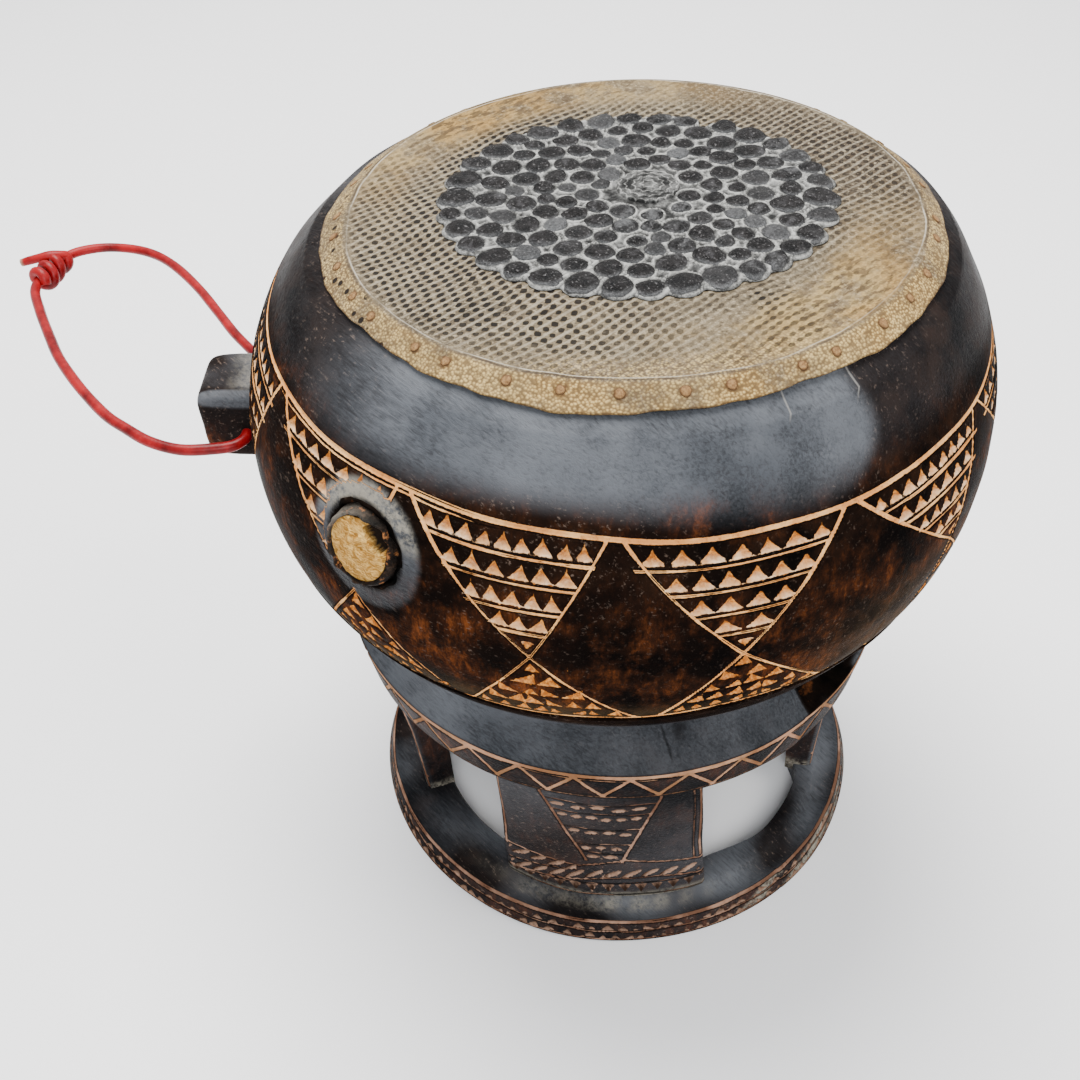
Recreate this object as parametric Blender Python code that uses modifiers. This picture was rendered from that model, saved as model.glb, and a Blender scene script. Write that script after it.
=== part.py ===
"""A ceremonial drum: a carved wooden bowl on a pierced pedestal, with a skin head.

Metres, +Z up. The drum stands on its foot at z = 0, with the bowl's axis on Z. Its front leg panel looks
along (+X, -Y), its windows look along X and Y, and the side hole looks close to -Y.

Everything is first made true: turned about Z, with a level rim. The last step, hewn(), moves each finished
piece to where the hand-cut block has it, with the bowl swung to one side and the rim cut aslant.
"""

import math

import bmesh
import bpy
from mathutils import Matrix, Vector
from mathutils.geometry import delaunay_2d_cdt

MM = 0.001
GAP = 0.3 * MM

# The whole block
HEIGHT = 350 * MM
STEPS = 36
SWING = 5.2 * MM
SWING_SKEW = 1.15
SWING_CENTRE = 0.75
SWING_TO = math.radians(46)
SLANT = 0.0386
SLANT_FROM = 305 * MM
SHIFT_Y = 0.5 * MM
SLANT_FULL = 345 * MM

# The bowl: one full curve above its widest line and another below it
BOWL_R = 163.4 * MM
WIDEST_Z = 258 * MM
BOWL_UP, BOWL_DOWN = 133 * MM, 125 * MM
BOWL_FULLNESS = 2.1
BOWL_LOW_Z = 184 * MM

# The cavity inside it
CAVITY_R = 148 * MM
CAVITY_UP = 116.3 * MM
CAVITY_FLOOR_Z = 186 * MM
CAVITY_MOUTH_Z = 345 * MM
CAVITY_WIDEST_Z = 260 * MM

# The neck and the pedestal's upper ring
NECK_R, NECK_Z = 116 * MM, 168 * MM
LIP_R, LIP_Z = 132 * MM, 143.2 * MM
BAND_R, BAND_Z = 128.4 * MM, 123 * MM

# Legs, foot ring and the hollow inside the pedestal
LEG_TOP_R, LEG_TOP_Z = 124.6 * MM, 121.5 * MM
LEG_MID_R, LEG_MID_Z = 115.6 * MM, 60 * MM
LEG_FOOT_R, LEG_FOOT_Z = 111.6 * MM, 14.2 * MM
DISH_R, DISH_Z = 118.5 * MM, 11.6 * MM
FOOT_LIP_R, FOOT_LIP_Z = 126.2 * MM, 13.3 * MM
FOOT_R, FOOT_EDGE = 129.5 * MM, 1.2 * MM
HOLLOW_R = 97.3 * MM
HOLLOW_WALL_Z = 128 * MM
HOLLOW_TOP_Z = 172 * MM
WINDOWS = ((-22.5, 38), (72, 112), (160, 206), (248, 291.5))
WINDOW_NARROWING = 4.5
WINDOW_LOW, WINDOW_HIGH = 13.7 * MM, 121 * MM
CUT_BACK, CUT_BACK_R = (1, 34), 104.5 * MM

# The skin, its folded band and the pegs
SKIN_THICK = 1.2 * MM
SKIN_TOP_Z = 349.8 * MM
RIDGE_R = 117.5 * MM
SKIN_EDGE_R, SKIN_EDGE_Z = 126.3 * MM, 343.1 * MM
SKIN_WAVE = 1.1 * MM
PEGS = 36
PEG_R, PEG_LONG, PEG_PROUD = 2.2 * MM, 10 * MM, 0.6 * MM
PEG_ALONG = 0.39
PEG_FIRST = math.radians(-45)
PEG_WANDER = math.radians(1.6)

# The tuning patch of wax pellets, an ellipse with its long side across the view of the front panel
PATCH_ACROSS, PATCH_DEEP = 81 * MM, 72 * MM
PATCH_AT = (2 * MM, 6 * MM)
PELLET_RINGS = ((0.22, 8), (0.40, 14), (0.58, 20), (0.76, 26), (0.94, 31))
PELLET_HIGH, MORTAR_HIGH, PATCH_EDGE = 4.4 * MM, 1.8 * MM, 0.9 * MM

# Chip carving on the bowl: twelve hanging fields over twelve standing ones
FIELDS = 12
FIRST_CORNER = -44
CORNER_GAP = math.radians(2)
CORNER_WANDER = (0, 3.6, 4, 2, 0, -1.5, 1, 2, 0, -2, -1, -1)
APEX_LEAN = (1.5, 8, 5, 3, 5, 6, 4, 3, 5, 6, 8.2, 5.4)
BASE_LEFT, BASE_RIGHT = math.radians(10.3), math.radians(15.2)
BORDER_Z, BORDER_DIP = 310 * MM, 2.6 * MM
BORDER_LOW_Z = 212 * MM
APEX_Z = 255 * MM
LINE_WIDE = 3.2 * MM
HANGING_ROWS = (4, 3, 1)
STANDING_ROWS = (3, 2)
CHIP_DEEP = 2.2 * MM

# Carving on the pedestal
BAND_CHIPS, FOOT_CHIPS = 32, 30
PANELS = (-45.5, 136.5)
PANEL_HALF_TOP, PANEL_HALF_FOOT = 29 * MM, 13 * MM
PANEL_TOP_Z, PANEL_FOOT_Z = 114 * MM, 50 * MM
DASHES = 5
DASH_Z = 31 * MM

# The lug and the bore that the cord passes through
LUG_AT = math.radians(-132.8)
LUG_IN, LUG_OUT = 140 * MM, 187 * MM
LUG_WIDE = 36 * MM
LUG_LOW, LUG_HIGH = 227 * MM, 263 * MM
BORE_R, BORE_OUT, BORE_Z = 4.5 * MM, 166.4 * MM, 243 * MM

# The side hole with its collar and membrane
HOLE_AT = math.radians(-80)
HOLE_Z = 281.5 * MM
HOLE_R, LAND_R, LAND_DEEP = 18 * MM, 27 * MM, 2.0 * MM
COLLAR_R, COLLAR_MOUTH_R, COLLAR_BORE = 17.2 * MM, 15.6 * MM, 13.8 * MM
COLLAR_PROUD, COLLAR_IN = 3 * MM, 9 * MM
MEMBRANE_R, MEMBRANE_BACK, MEMBRANE_CROWN = 13.4 * MM, 1.2 * MM, 2.2 * MM
TEAR_WIDE = 4 * MM

# An old break through the neck, under the bowl
BREAK_AT = math.radians(11)
BREAK_WIDE, BREAK_LOW, BREAK_HIGH = 36 * MM, 146 * MM, 170 * MM

# The cord loop: its route from the lug's front, round the knot and back into the lug
CORD_R = 2.75 * MM
ROUTE_OUT = (
    (-113.5, -122.1, 243), (-107.6, -127.5, 243), (-101.8, -133, 243), (-97.8, -137.5, 242.9),
    (-97.3, -144, 242.7), (-101.8, -151.7, 242.4),
    (-111.5, -163, 242.1), (-126, -170.5, 241.8), (-142.5, -174, 241.5), (-158, -176, 241.1),
    (-184.5, -175, 240.3), (-212.5, -171.5, 239.3), (-233.5, -166.5, 238.4), (-260.5, -159, 237.2),
    (-282, -151, 236.1),
)
ROUTE_BACK = (
    (-298.5, -122.5, 235.9), (-294, -108, 235.9), (-282.5, -96.5, 236.2), (-267, -89.5, 237), (-247, -87.5, 238.1),
    (-220, -89.5, 239.4), (-192, -94, 240.6), (-171.5, -97.5, 241.5), (-155, -99, 242),
    (-142, -100, 242.5), (-132.3, -104.3, 242.8), (-125.6, -110.7, 243), (-119.8, -116.3, 243),
    (-114.2, -121.5, 243),
)
CORD_STEP = 14 * MM
KNOT_FROM, KNOT_TO = Vector((-284.4, -149.8, 236)) * MM, Vector((-299.3, -124.9, 235.9)) * MM
KNOT_R, KNOT_WAIST_R, KNOT_TURNS = 8 * MM, 6.2 * MM, 3
TAIL_LONG, TAIL_R = 11 * MM, 2.6 * MM

COLOURS = {
    "carved_wood": ((0.035, 0.026, 0.022), 0.34),
    "lizard_skin": ((0.36, 0.31, 0.24), 0.62),
    "peg_wood": ((0.30, 0.19, 0.10), 0.6),
    "black_wax": ((0.035, 0.036, 0.038), 0.5),
    "collar_wax": ((0.09, 0.08, 0.075), 0.6),
    "silk_membrane": ((0.62, 0.42, 0.16), 0.7),
    "red_cord": ((0.45, 0.03, 0.03), 0.3),
}


def clear_scene():
    for obj in list(bpy.data.objects):
        bpy.data.objects.remove(obj)


def new_collection(name):
    made = bpy.data.collections.new(name)
    bpy.context.scene.collection.children.link(made)
    return made


def material(name):
    """A plain material of the list above."""
    found = bpy.data.materials.get(name)
    if found:
        return found
    colour, roughness = COLOURS[name]
    made = bpy.data.materials.new(name)
    made.use_nodes = True
    shader = made.node_tree.nodes["Principled BSDF"]
    shader.inputs["Base Color"].default_value = (*colour, 1)
    shader.inputs["Roughness"].default_value = roughness
    shader.inputs["Metallic"].default_value = 0
    return made


def add_object(name, data, collection, finish=None):
    made = bpy.data.objects.new(name, data)
    collection.objects.link(made)
    if finish:
        data.materials.append(material(finish))
    return made


def mesh_from(bm, name):
    """A mesh from a bmesh whose faces are turned outwards."""
    bmesh.ops.recalc_face_normals(bm, faces=bm.faces)
    mesh = bpy.data.meshes.new(name)
    bm.to_mesh(mesh)
    bm.free()
    return mesh


def baked(obj):
    """The object's mesh with its modifiers applied and its doubles merged; the object is removed."""
    bpy.context.view_layer.update()
    mesh = bpy.data.meshes.new_from_object(obj.evaluated_get(bpy.context.evaluated_depsgraph_get()))
    mesh.transform(obj.matrix_world)
    bm = bmesh.new()
    bm.from_mesh(mesh)
    bmesh.ops.remove_doubles(bm, verts=bm.verts, dist=1e-6)
    bm.to_mesh(mesh)
    bm.free()
    bpy.data.objects.remove(obj)
    return mesh


def turned(name, profile, collection, steps=STEPS, finish=None):
    """A turned solid or shell: the profile of (radius, height), down its outer side, swept round Z."""
    mesh = bpy.data.meshes.new(name)
    count = len(profile)
    mesh.from_pydata([(r, 0, z) for r, z in profile], [(i, i + 1) for i in range(count - 1)], [])
    made = add_object(name, mesh, collection, finish)
    screw = made.modifiers.new("turn", "SCREW")
    screw.steps = screw.render_steps = steps
    screw.use_merge_vertices = True
    screw.merge_threshold = 1e-5
    return made


def boolean(target, cutter, operation):
    """One cut or join, done at once, so that the next one meets a plain mesh."""
    modifier = target.modifiers.new("boolean", "BOOLEAN")
    modifier.operation = operation
    modifier.object = cutter
    modifier.solver = "EXACT"
    name, collection, finish = target.name, target.users_collection[0], target.data.materials[0].name
    target.name = name + "_before"
    mesh = baked(target)
    mesh.materials.clear()
    bpy.data.objects.remove(cutter)
    return add_object(name, mesh, collection, finish)


def cut(target, cutter):
    return boolean(target, cutter, "DIFFERENCE")


def join(target, cutter):
    return boolean(target, cutter, "UNION")


def as_cutter(name, bm, cutters):
    made = add_object(name, mesh_from(bm, name), cutters)
    made.hide_render = True
    made.display_type = "WIRE"
    return made


def box_cutter(name, low, high, cutters, turn=0.0):
    """A box between two corners, turned about Z."""
    low, high = Vector(low), Vector(high)
    size = high - low
    place = Matrix.Rotation(turn, 4, "Z") @ Matrix.Translation((low + high) / 2)
    bm = bmesh.new()
    bmesh.ops.create_cube(bm, size=1, matrix=place @ Matrix.Diagonal((*size, 1)))
    return as_cutter(name, bm, cutters)


def sector_cutter(name, first, last, reach, low, high, narrowing, cutters):
    """A prism between two angles in degrees, from inside the pedestal's hollow out to a radius.

    Both of its sides come in by the narrowing from its top to its foot.
    """
    near = 60 * MM
    bm = bmesh.new()
    rings = []
    for z, less in ((low, narrowing), (high, 0)):
        angles = [math.radians(a) for a in spread(first + less, last - less, 4)]
        outline = [(near, angles[0]), *((reach, a) for a in angles), (near, angles[-1])]
        rings.append([bm.verts.new(polar(r, a, z)) for r, a in outline])
    bm.faces.new(rings[0])
    bm.faces.new(rings[1])
    count = len(rings[0])
    for i in range(count):
        j = (i + 1) % count
        bm.faces.new((rings[0][i], rings[0][j], rings[1][j]))
        bm.faces.new((rings[0][i], rings[1][j], rings[1][i]))
    return as_cutter(name, bm, cutters)


def smooth(share):
    share = min(max(share, 0.0), 1.0)
    return share * share * (3 - 2 * share)


def hewn(point):
    """Where a point of the true turned drum lies in the hand-cut one.

    The rim rises towards +X, and the bowl and the ring swing out against SWING_TO while the foot and the rim
    stay. The floor stays flat. SHIFT_Y then centres the drum on the origin.
    """
    x, y, z = point
    z += SLANT * x * smooth((z - SLANT_FROM) / (SLANT_FULL - SLANT_FROM))
    share = min(max(z / HEIGHT, 0.0), 1.0)
    swing = SWING * (SWING_CENTRE - math.sin(math.pi * share**SWING_SKEW))
    return Vector((x + swing * math.cos(SWING_TO), y + swing * math.sin(SWING_TO) + SHIFT_Y, z))


def hew(obj):
    """Moves every point of a finished piece to its hand-cut place."""
    for vertex in obj.data.vertices:
        vertex.co = hewn(vertex.co)
    obj.data.update()
    obj.data.shade_smooth()
    obj.data.set_sharp_from_angle(angle=math.radians(32))
    return obj


def bowl_radius(z):
    """The bowl's outer radius at a height: an ellipse made a little fuller than a true one."""
    share = abs(z - WIDEST_Z) / (BOWL_UP if z > WIDEST_Z else BOWL_DOWN)
    return BOWL_R * max(0.0, 1 - share**BOWL_FULLNESS) ** (1 / BOWL_FULLNESS)


def neck_radius(z):
    """The dished neck: a parabola above its waist, and another out to the ring's lip."""
    if z > NECK_Z:
        return NECK_R + (bowl_radius(BOWL_LOW_Z) - NECK_R) * ((z - NECK_Z) / (BOWL_LOW_Z - NECK_Z)) ** 2
    return NECK_R + (LIP_R - NECK_R) * ((NECK_Z - z) / (NECK_Z - LIP_Z)) ** 2


def cavity_radius(z):
    reach = CAVITY_UP if z > CAVITY_WIDEST_Z else CAVITY_WIDEST_Z - CAVITY_FLOOR_Z
    return CAVITY_R * math.sqrt(max(0.0, 1 - ((z - CAVITY_WIDEST_Z) / reach) ** 2))


def spread(first, last, count):
    return [first + (last - first) * i / (count - 1) for i in range(count)]


def band_normal():
    """The outward direction of the skin's folded band, in radius and height."""
    out, down = SKIN_EDGE_R - RIDGE_R, SKIN_TOP_Z - SKIN_EDGE_Z
    long = math.hypot(out, down)
    return down / long, out / long


def block_profile():
    """The outside of the block, from the middle of its top to the middle of its foot."""
    out, up = band_normal()
    under = SKIN_THICK + GAP
    seat_z = SKIN_TOP_Z - under
    profile = [(0, seat_z), (RIDGE_R - 3.5 * MM, seat_z), (RIDGE_R - 0.8 * MM, seat_z - 0.8 * MM)]
    reach = 2 * SKIN_WAVE
    profile += [(SKIN_EDGE_R - under * out + reach * up, SKIN_EDGE_Z - under * up - reach * out)]
    profile += [(bowl_radius(z), z) for z in (338 * MM, 325 * MM)]
    profile += [(bowl_radius(z) - inset, z) for z, inset in border_groove(BORDER_Z)]
    profile += [(bowl_radius(z), z) for z in (292 * MM, 268 * MM, 240 * MM)]
    profile += [(bowl_radius(z) - inset, z) for z, inset in border_groove(BORDER_LOW_Z)]
    profile += [(bowl_radius(z), z) for z in (198 * MM, BOWL_LOW_Z)]
    profile += [(neck_radius(z), z) for z in (175 * MM, 164 * MM, 151 * MM)]
    profile += [(LIP_R - 1 * MM, LIP_Z + 0.6 * MM), (LIP_R, LIP_Z - 0.8 * MM), (BAND_R, BAND_Z)]
    profile += [(LEG_TOP_R, LEG_TOP_Z), (LEG_MID_R, LEG_MID_Z), (LEG_FOOT_R, LEG_FOOT_Z)]
    profile += [(DISH_R, DISH_Z), (FOOT_LIP_R, FOOT_LIP_Z), (FOOT_R, FOOT_EDGE), (FOOT_R - FOOT_EDGE, 0), (0, 0)]
    return profile


def border_groove(z):
    """A border's groove, as heights and depths."""
    half = LINE_WIDE / 2
    return ((z + half, 0), (z, half), (z - half, 0))


def tilt_upper_border(mesh):
    """Slides the upper border's three rings along the bowl, to the height the border has at each angle."""
    for vertex in mesh.vertices:
        if abs(vertex.co.z - BORDER_Z) > LINE_WIDE:
            continue
        r, angle = math.hypot(vertex.co.x, vertex.co.y), math.atan2(vertex.co.y, vertex.co.x)
        inset = bowl_radius(vertex.co.z) - r
        z = vertex.co.z + border_height(angle) - BORDER_Z
        vertex.co = polar(bowl_radius(z) - inset, angle, z)


def cavity_profile():
    """The drum's hollow, which runs out through its top."""
    heights = (328, 302, 268, 232, 206, 193)
    above = SKIN_TOP_Z + 10 * MM
    profile = [(0, above), (cavity_radius(CAVITY_MOUTH_Z), above), (cavity_radius(CAVITY_MOUTH_Z), CAVITY_MOUTH_Z)]
    return profile + [(cavity_radius(h * MM), h * MM) for h in heights] + [(0, CAVITY_FLOOR_Z)]


def hollow_profile():
    """The hollow inside the pedestal, a low dome that runs out through the foot."""
    dome = HOLLOW_TOP_Z - HOLLOW_WALL_Z
    arc = [math.radians(a) for a in (90, 62, 34, 0)]
    curve = [(HOLLOW_R * math.cos(a), HOLLOW_WALL_Z + dome * math.sin(a)) for a in arc]
    return [(0, HOLLOW_TOP_Z)] + curve[1:] + [(HOLLOW_R, -10 * MM), (0, -10 * MM)]


def border_height(angle):
    """The upper border's height: it was drawn aslant, lowest on the side that the bowl swings away from."""
    return BORDER_Z - BORDER_DIP * math.cos(angle - SWING_TO)


def on_bowl(angle, z, out=0.0):
    r = bowl_radius(z) + out
    return Vector((r * math.cos(angle), r * math.sin(angle), z))


def surface_frame(angle, z, radius_at, out=0.0):
    """A placement on a turned surface: local X runs round it, local Y up it, and local Z out of it."""
    step = 1 * MM
    lean = (radius_at(z + step) - radius_at(z - step)) / (2 * step)
    round_it = Vector((-math.sin(angle), math.cos(angle), 0))
    up_it = Vector((lean * math.cos(angle), lean * math.sin(angle), 1)).normalized()
    outward = round_it.cross(up_it)
    r = radius_at(z)
    place = Vector((r * math.cos(angle), r * math.sin(angle), z)) + outward * out
    turn = Matrix((round_it, up_it, outward)).transposed().to_4x4()
    return Matrix.Translation(place) @ turn


def field_corners(k):
    """One pair of fields: the hanging one's corners, the shared apex and the standing one's base."""
    wide = 360 / FIELDS
    left = FIRST_CORNER + wide * k + CORNER_WANDER[k]
    right = FIRST_CORNER + wide * (k + 1) + CORNER_WANDER[(k + 1) % FIELDS]
    apex = math.radians((left + right) / 2 + APEX_LEAN[k])
    left, right = math.radians(left) + CORNER_GAP / 2, math.radians(right) - CORNER_GAP / 2
    return left, right, apex, apex - BASE_LEFT, apex + BASE_RIGHT


def line_points(top_angle, apex_angle, base_angle):
    """A carved line that runs down the bowl from the upper border through an apex to the lower border."""
    down = [(top_angle + (apex_angle - top_angle) * s, s) for s in (0.04, 0.5, 1.0)]
    upper = [(a, border_height(a) + (APEX_Z - border_height(a)) * s) for a, s in down]
    lower = [(apex_angle + (base_angle - apex_angle) * s, APEX_Z + (BORDER_LOW_Z - APEX_Z) * s) for s in (0.5, 0.94)]
    return [on_bowl(a, z) for a, z in upper + lower]


def groove_cutter(name, paths, cutters):
    """Square-sectioned rods along the paths, which cut V-shaped grooves."""
    curve = bpy.data.curves.new(name, "CURVE")
    curve.dimensions = "3D"
    curve.bevel_depth = LINE_WIDE / 2
    curve.bevel_resolution = 0
    curve.use_fill_caps = True
    for path in paths:
        spline = curve.splines.new("POLY")
        spline.points.add(len(path) - 1)
        for place, point in zip(spline.points, path, strict=True):
            place.co = (*point, 1)
    rods = add_object(name + "_curve", curve, cutters)
    mesh = baked(rods)
    made = add_object(name, mesh, cutters)
    made.hide_render = True
    made.display_type = "WIRE"
    return made


def add_chip(bm, frame, wide, deep, flip=False):
    """A three-sided pit, point up, or point down when flipped. Its open base stands a little off the surface."""
    proud = 0.5 * MM
    depth = deep + proud
    turn = Matrix.Rotation(math.pi if flip else 0.0, 4, "Z")
    inward = Matrix.Rotation(math.pi, 4, "Y")
    place = frame @ turn @ Matrix.Translation((0, 0, proud - depth / 2)) @ inward
    bmesh.ops.create_cone(
        bm, cap_ends=True, segments=3, radius1=wide * 0.58 * depth / deep, radius2=0, depth=depth, matrix=place
    )


def hanging_chips(bm):
    """Rows of chips that fill each hanging field, between its two sides."""
    rows = len(HANGING_ROWS)
    for k in range(FIELDS):
        left, right, apex, _, _ = field_corners(k)
        for i, count in enumerate(HANGING_ROWS):
            share = (i + 0.62) / (rows + 0.75)
            low, high = left + (apex - left) * share, right + (apex - right) * share
            for j in range(count):
                angle = low + (high - low) * (j + 1) / (count + 1)
                top = border_height(angle)
                z = top + (APEX_Z - top) * share
                add_chip(bm, surface_frame(angle, z, bowl_radius), 8 * MM, CHIP_DEEP)


def standing_chips(bm):
    """Rows of smaller chips in each standing field, from its base up to the apex."""
    rows = len(STANDING_ROWS)
    for k in range(FIELDS):
        _, _, apex, left, right = field_corners(k)
        for i, count in enumerate(STANDING_ROWS):
            share = (i + 0.5) / (rows + 0.5)
            low, high = left + (apex - left) * share, right + (apex - right) * share
            z = BORDER_LOW_Z + (APEX_Z - BORDER_LOW_Z) * share
            for j in range(count):
                angle = low + (high - low) * (j + 1) / (count + 1)
                add_chip(bm, surface_frame(angle, z, bowl_radius), 6.4 * MM, CHIP_DEEP)


def band_radius(z):
    return BAND_R + (LIP_R - BAND_R) * (z - BAND_Z) / (LIP_Z - BAND_Z)


def foot_radius(z):
    return FOOT_R + (FOOT_LIP_R - FOOT_R) * (z - FOOT_EDGE) / (FOOT_LIP_Z - FOOT_EDGE)


def leg_radius(z):
    """The outer face of a leg, which spreads more above LEG_MID_Z than below it."""
    if z < LEG_MID_Z:
        return LEG_FOOT_R + (LEG_MID_R - LEG_FOOT_R) * (z - LEG_FOOT_Z) / (LEG_MID_Z - LEG_FOOT_Z)
    return LEG_MID_R + (LEG_TOP_R - LEG_MID_R) * (z - LEG_MID_Z) / (LEG_TOP_Z - LEG_MID_Z)


def pedestal_chips(bm):
    """Chips round the upper ring and the foot, and a row of them on each carved leg."""
    for i in range(BAND_CHIPS):
        angle = math.tau * (i + 0.5) / BAND_CHIPS
        z = (LIP_Z + BAND_Z) / 2
        add_chip(bm, surface_frame(angle, z, band_radius), 11 * MM, 1.6 * MM, flip=True)
    for i in range(FOOT_CHIPS):
        angle = math.tau * (i + 0.5) / FOOT_CHIPS
        z = (FOOT_LIP_Z + FOOT_EDGE) / 2
        add_chip(bm, surface_frame(angle, z, foot_radius), 6.5 * MM, 1.6 * MM, flip=i % 2)
    half = math.asin(38 * MM / LEG_FOOT_R)
    for middle in map(math.radians, PANELS):
        for angle in spread(middle - half, middle + half, DASHES):
            add_chip(bm, surface_frame(angle, DASH_Z, leg_radius), 8 * MM, 1.6 * MM)


def panel_cutter(middle, cutters):
    """The lines round the field on a carved leg, which is wide above and narrow below."""
    path = []
    for across, z in ((-1, PANEL_TOP_Z), (-1, PANEL_FOOT_Z), (1, PANEL_FOOT_Z), (1, PANEL_TOP_Z)):
        half = PANEL_HALF_TOP if z == PANEL_TOP_Z else PANEL_HALF_FOOT
        path.append(polar(leg_radius(z), math.radians(middle) + across * math.asin(half / leg_radius(z)), z))
    return groove_cutter("panel", [path], cutters)


def tube_between(name, start, end, radius, segments, cutters):
    """A cylinder from one point to another."""
    axis = end - start
    turn = axis.to_track_quat("Z", "Y").to_matrix().to_4x4()
    place = Matrix.Translation((start + end) / 2) @ turn
    bm = bmesh.new()
    bmesh.ops.create_cone(
        bm, cap_ends=True, segments=segments, radius1=radius, radius2=radius, depth=axis.length, matrix=place
    )
    return as_cutter(name, bm, cutters)


def polar(r, angle, z):
    return Vector((r * math.cos(angle), r * math.sin(angle), z))


def lug_solid(cutters):
    """The lug, a block with rounded edges and a slightly crowned end."""
    lug = box_cutter(
        "lug", (LUG_IN, -LUG_WIDE / 2, LUG_LOW), (LUG_OUT, LUG_WIDE / 2, LUG_HIGH), cutters, turn=LUG_AT
    )
    bevel = lug.modifiers.new("round", "BEVEL")
    bevel.width = 4 * MM
    bevel.segments = 2
    return lug


def side_hole_frame():
    return surface_frame(HOLE_AT, HOLE_Z, bowl_radius)


def make_body(parts, cutters):
    """The carved block: bowl, lug, pierced pedestal and all of its carving."""
    block = baked(turned("block", block_profile(), parts))
    tilt_upper_border(block)
    body = add_object("drum_body", block, parts, "carved_wood")
    body = join(body, lug_solid(cutters))
    body = cut(body, turned("cavity", cavity_profile(), cutters, steps=28))
    body = cut(body, turned("hollow", hollow_profile(), cutters, steps=24))
    for first, last in WINDOWS:
        window = sector_cutter(
            "window", first, last, 160 * MM, WINDOW_LOW, WINDOW_HIGH, WINDOW_NARROWING, cutters
        )
        body = cut(body, window)
    body = cut(body, sector_cutter("cut_back", *CUT_BACK, CUT_BACK_R, -10 * MM, WINDOW_LOW + 5 * MM, 0, cutters))
    body = cut(body, break_cutter(cutters))
    body = cut(body, bore_cutter(cutters))
    for cutter in side_hole_cutters(cutters):
        body = cut(body, cutter)
    corners = [field_corners(k) for k in range(FIELDS)]
    falling = [line_points(left, apex, base) for left, _, apex, _, base in corners]
    rising = [line_points(right, apex, base) for _, right, apex, base, _ in corners]
    body = cut(body, groove_cutter("falling_lines", falling, cutters))
    body = cut(body, groove_cutter("rising_lines", rising, cutters))
    for middle in PANELS:
        body = cut(body, panel_cutter(middle, cutters))
    for chips in (hanging_chips, standing_chips, pedestal_chips):
        bm = bmesh.new()
        chips(bm)
        body = cut(body, as_cutter(chips.__name__, bm, cutters))
    body = cut(body, peg_holes("body_peg_holes", cutters))
    return hew(body)


def break_cutter(cutters):
    """The break through the neck, out of the pedestal's hollow."""
    low = (60 * MM, -BREAK_WIDE / 2, BREAK_LOW)
    high = (140 * MM, BREAK_WIDE / 2, BREAK_HIGH)
    return box_cutter("break", low, high, cutters, turn=BREAK_AT)


def bore_cutter(cutters):
    """The lug's bore, along the bowl's side."""
    middle = polar(BORE_OUT, LUG_AT, BORE_Z)
    along = Vector((-math.sin(LUG_AT), math.cos(LUG_AT), 0)) * 40 * MM
    return tube_between("bore", middle - along, middle + along, BORE_R, 10, cutters)


def side_hole_cutters(cutters):
    """The flat land round the side hole, and the hole through the wall."""
    frame = side_hole_frame()
    made = []
    for name, radius, from_z, to_z, segments in (
        ("land", LAND_R, -LAND_DEEP, 20 * MM, 20), ("side_hole", HOLE_R, -60 * MM, 21 * MM, 16)
    ):
        made.append(tube_between(name, frame @ Vector((0, 0, from_z)), frame @ Vector((0, 0, to_z)),
                                 radius, segments, cutters))
    return made


def skin_profile():
    """The skin's upper face: flat, bent over the rim, and down the band to its edge."""
    bend = 2.4 * MM
    out, up = band_normal()
    return [
        (0, SKIN_TOP_Z), (RIDGE_R - bend, SKIN_TOP_Z), (RIDGE_R - 0.3 * bend, SKIN_TOP_Z - 0.12 * bend),
        (RIDGE_R + 0.55 * bend * up, SKIN_TOP_Z - 0.55 * bend * out - 0.1 * bend), (SKIN_EDGE_R, SKIN_EDGE_Z),
    ]


def make_skin(parts, cutters):
    """The head: a turned sheet with an uneven edge, given its thickness inwards, and pierced by the pegs."""
    sheet = turned("skin_sheet", skin_profile(), parts)
    mesh = baked(sheet)
    out, up = band_normal()
    for vertex in mesh.vertices:
        if math.hypot(vertex.co.x, vertex.co.y) > SKIN_EDGE_R - 1 * MM:
            angle = math.atan2(vertex.co.y, vertex.co.x)
            wave = SKIN_WAVE * (math.sin(5 * angle) + 0.8 * math.sin(13 * angle + 1))
            vertex.co += polar(wave * up, angle, 0) + Vector((0, 0, -wave * out))
    skin = add_object("drum_skin", mesh, parts, "lizard_skin")
    thick = skin.modifiers.new("thickness", "SOLIDIFY")
    thick.thickness = SKIN_THICK
    thick.offset = -1
    thick.use_even_offset = True
    skin = cut(skin, peg_holes("skin_peg_holes", cutters))
    return hew(skin)


def peg_angle(i):
    return PEG_FIRST + math.tau * i / PEGS + PEG_WANDER * math.sin(2.6 * i)


def peg_frame(i):
    """A peg's place on the band: local Z out of it."""
    out, up = band_normal()
    r = RIDGE_R + (SKIN_EDGE_R - RIDGE_R) * PEG_ALONG
    z = SKIN_TOP_Z - (SKIN_TOP_Z - SKIN_EDGE_Z) * PEG_ALONG
    angle = peg_angle(i)
    outward = Vector((out * math.cos(angle), out * math.sin(angle), up))
    round_it = Vector((-math.sin(angle), math.cos(angle), 0))
    turn = Matrix((round_it, outward.cross(round_it), outward)).transposed().to_4x4()
    return Matrix.Translation(polar(r, angle, z)) @ turn


def add_rod(bm, frame, radius, low, high, sides=4):
    place = frame @ Matrix.Translation((0, 0, (low + high) / 2))
    bmesh.ops.create_cone(
        bm, cap_ends=True, segments=sides, radius1=radius, radius2=radius, depth=high - low, matrix=place
    )


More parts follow.
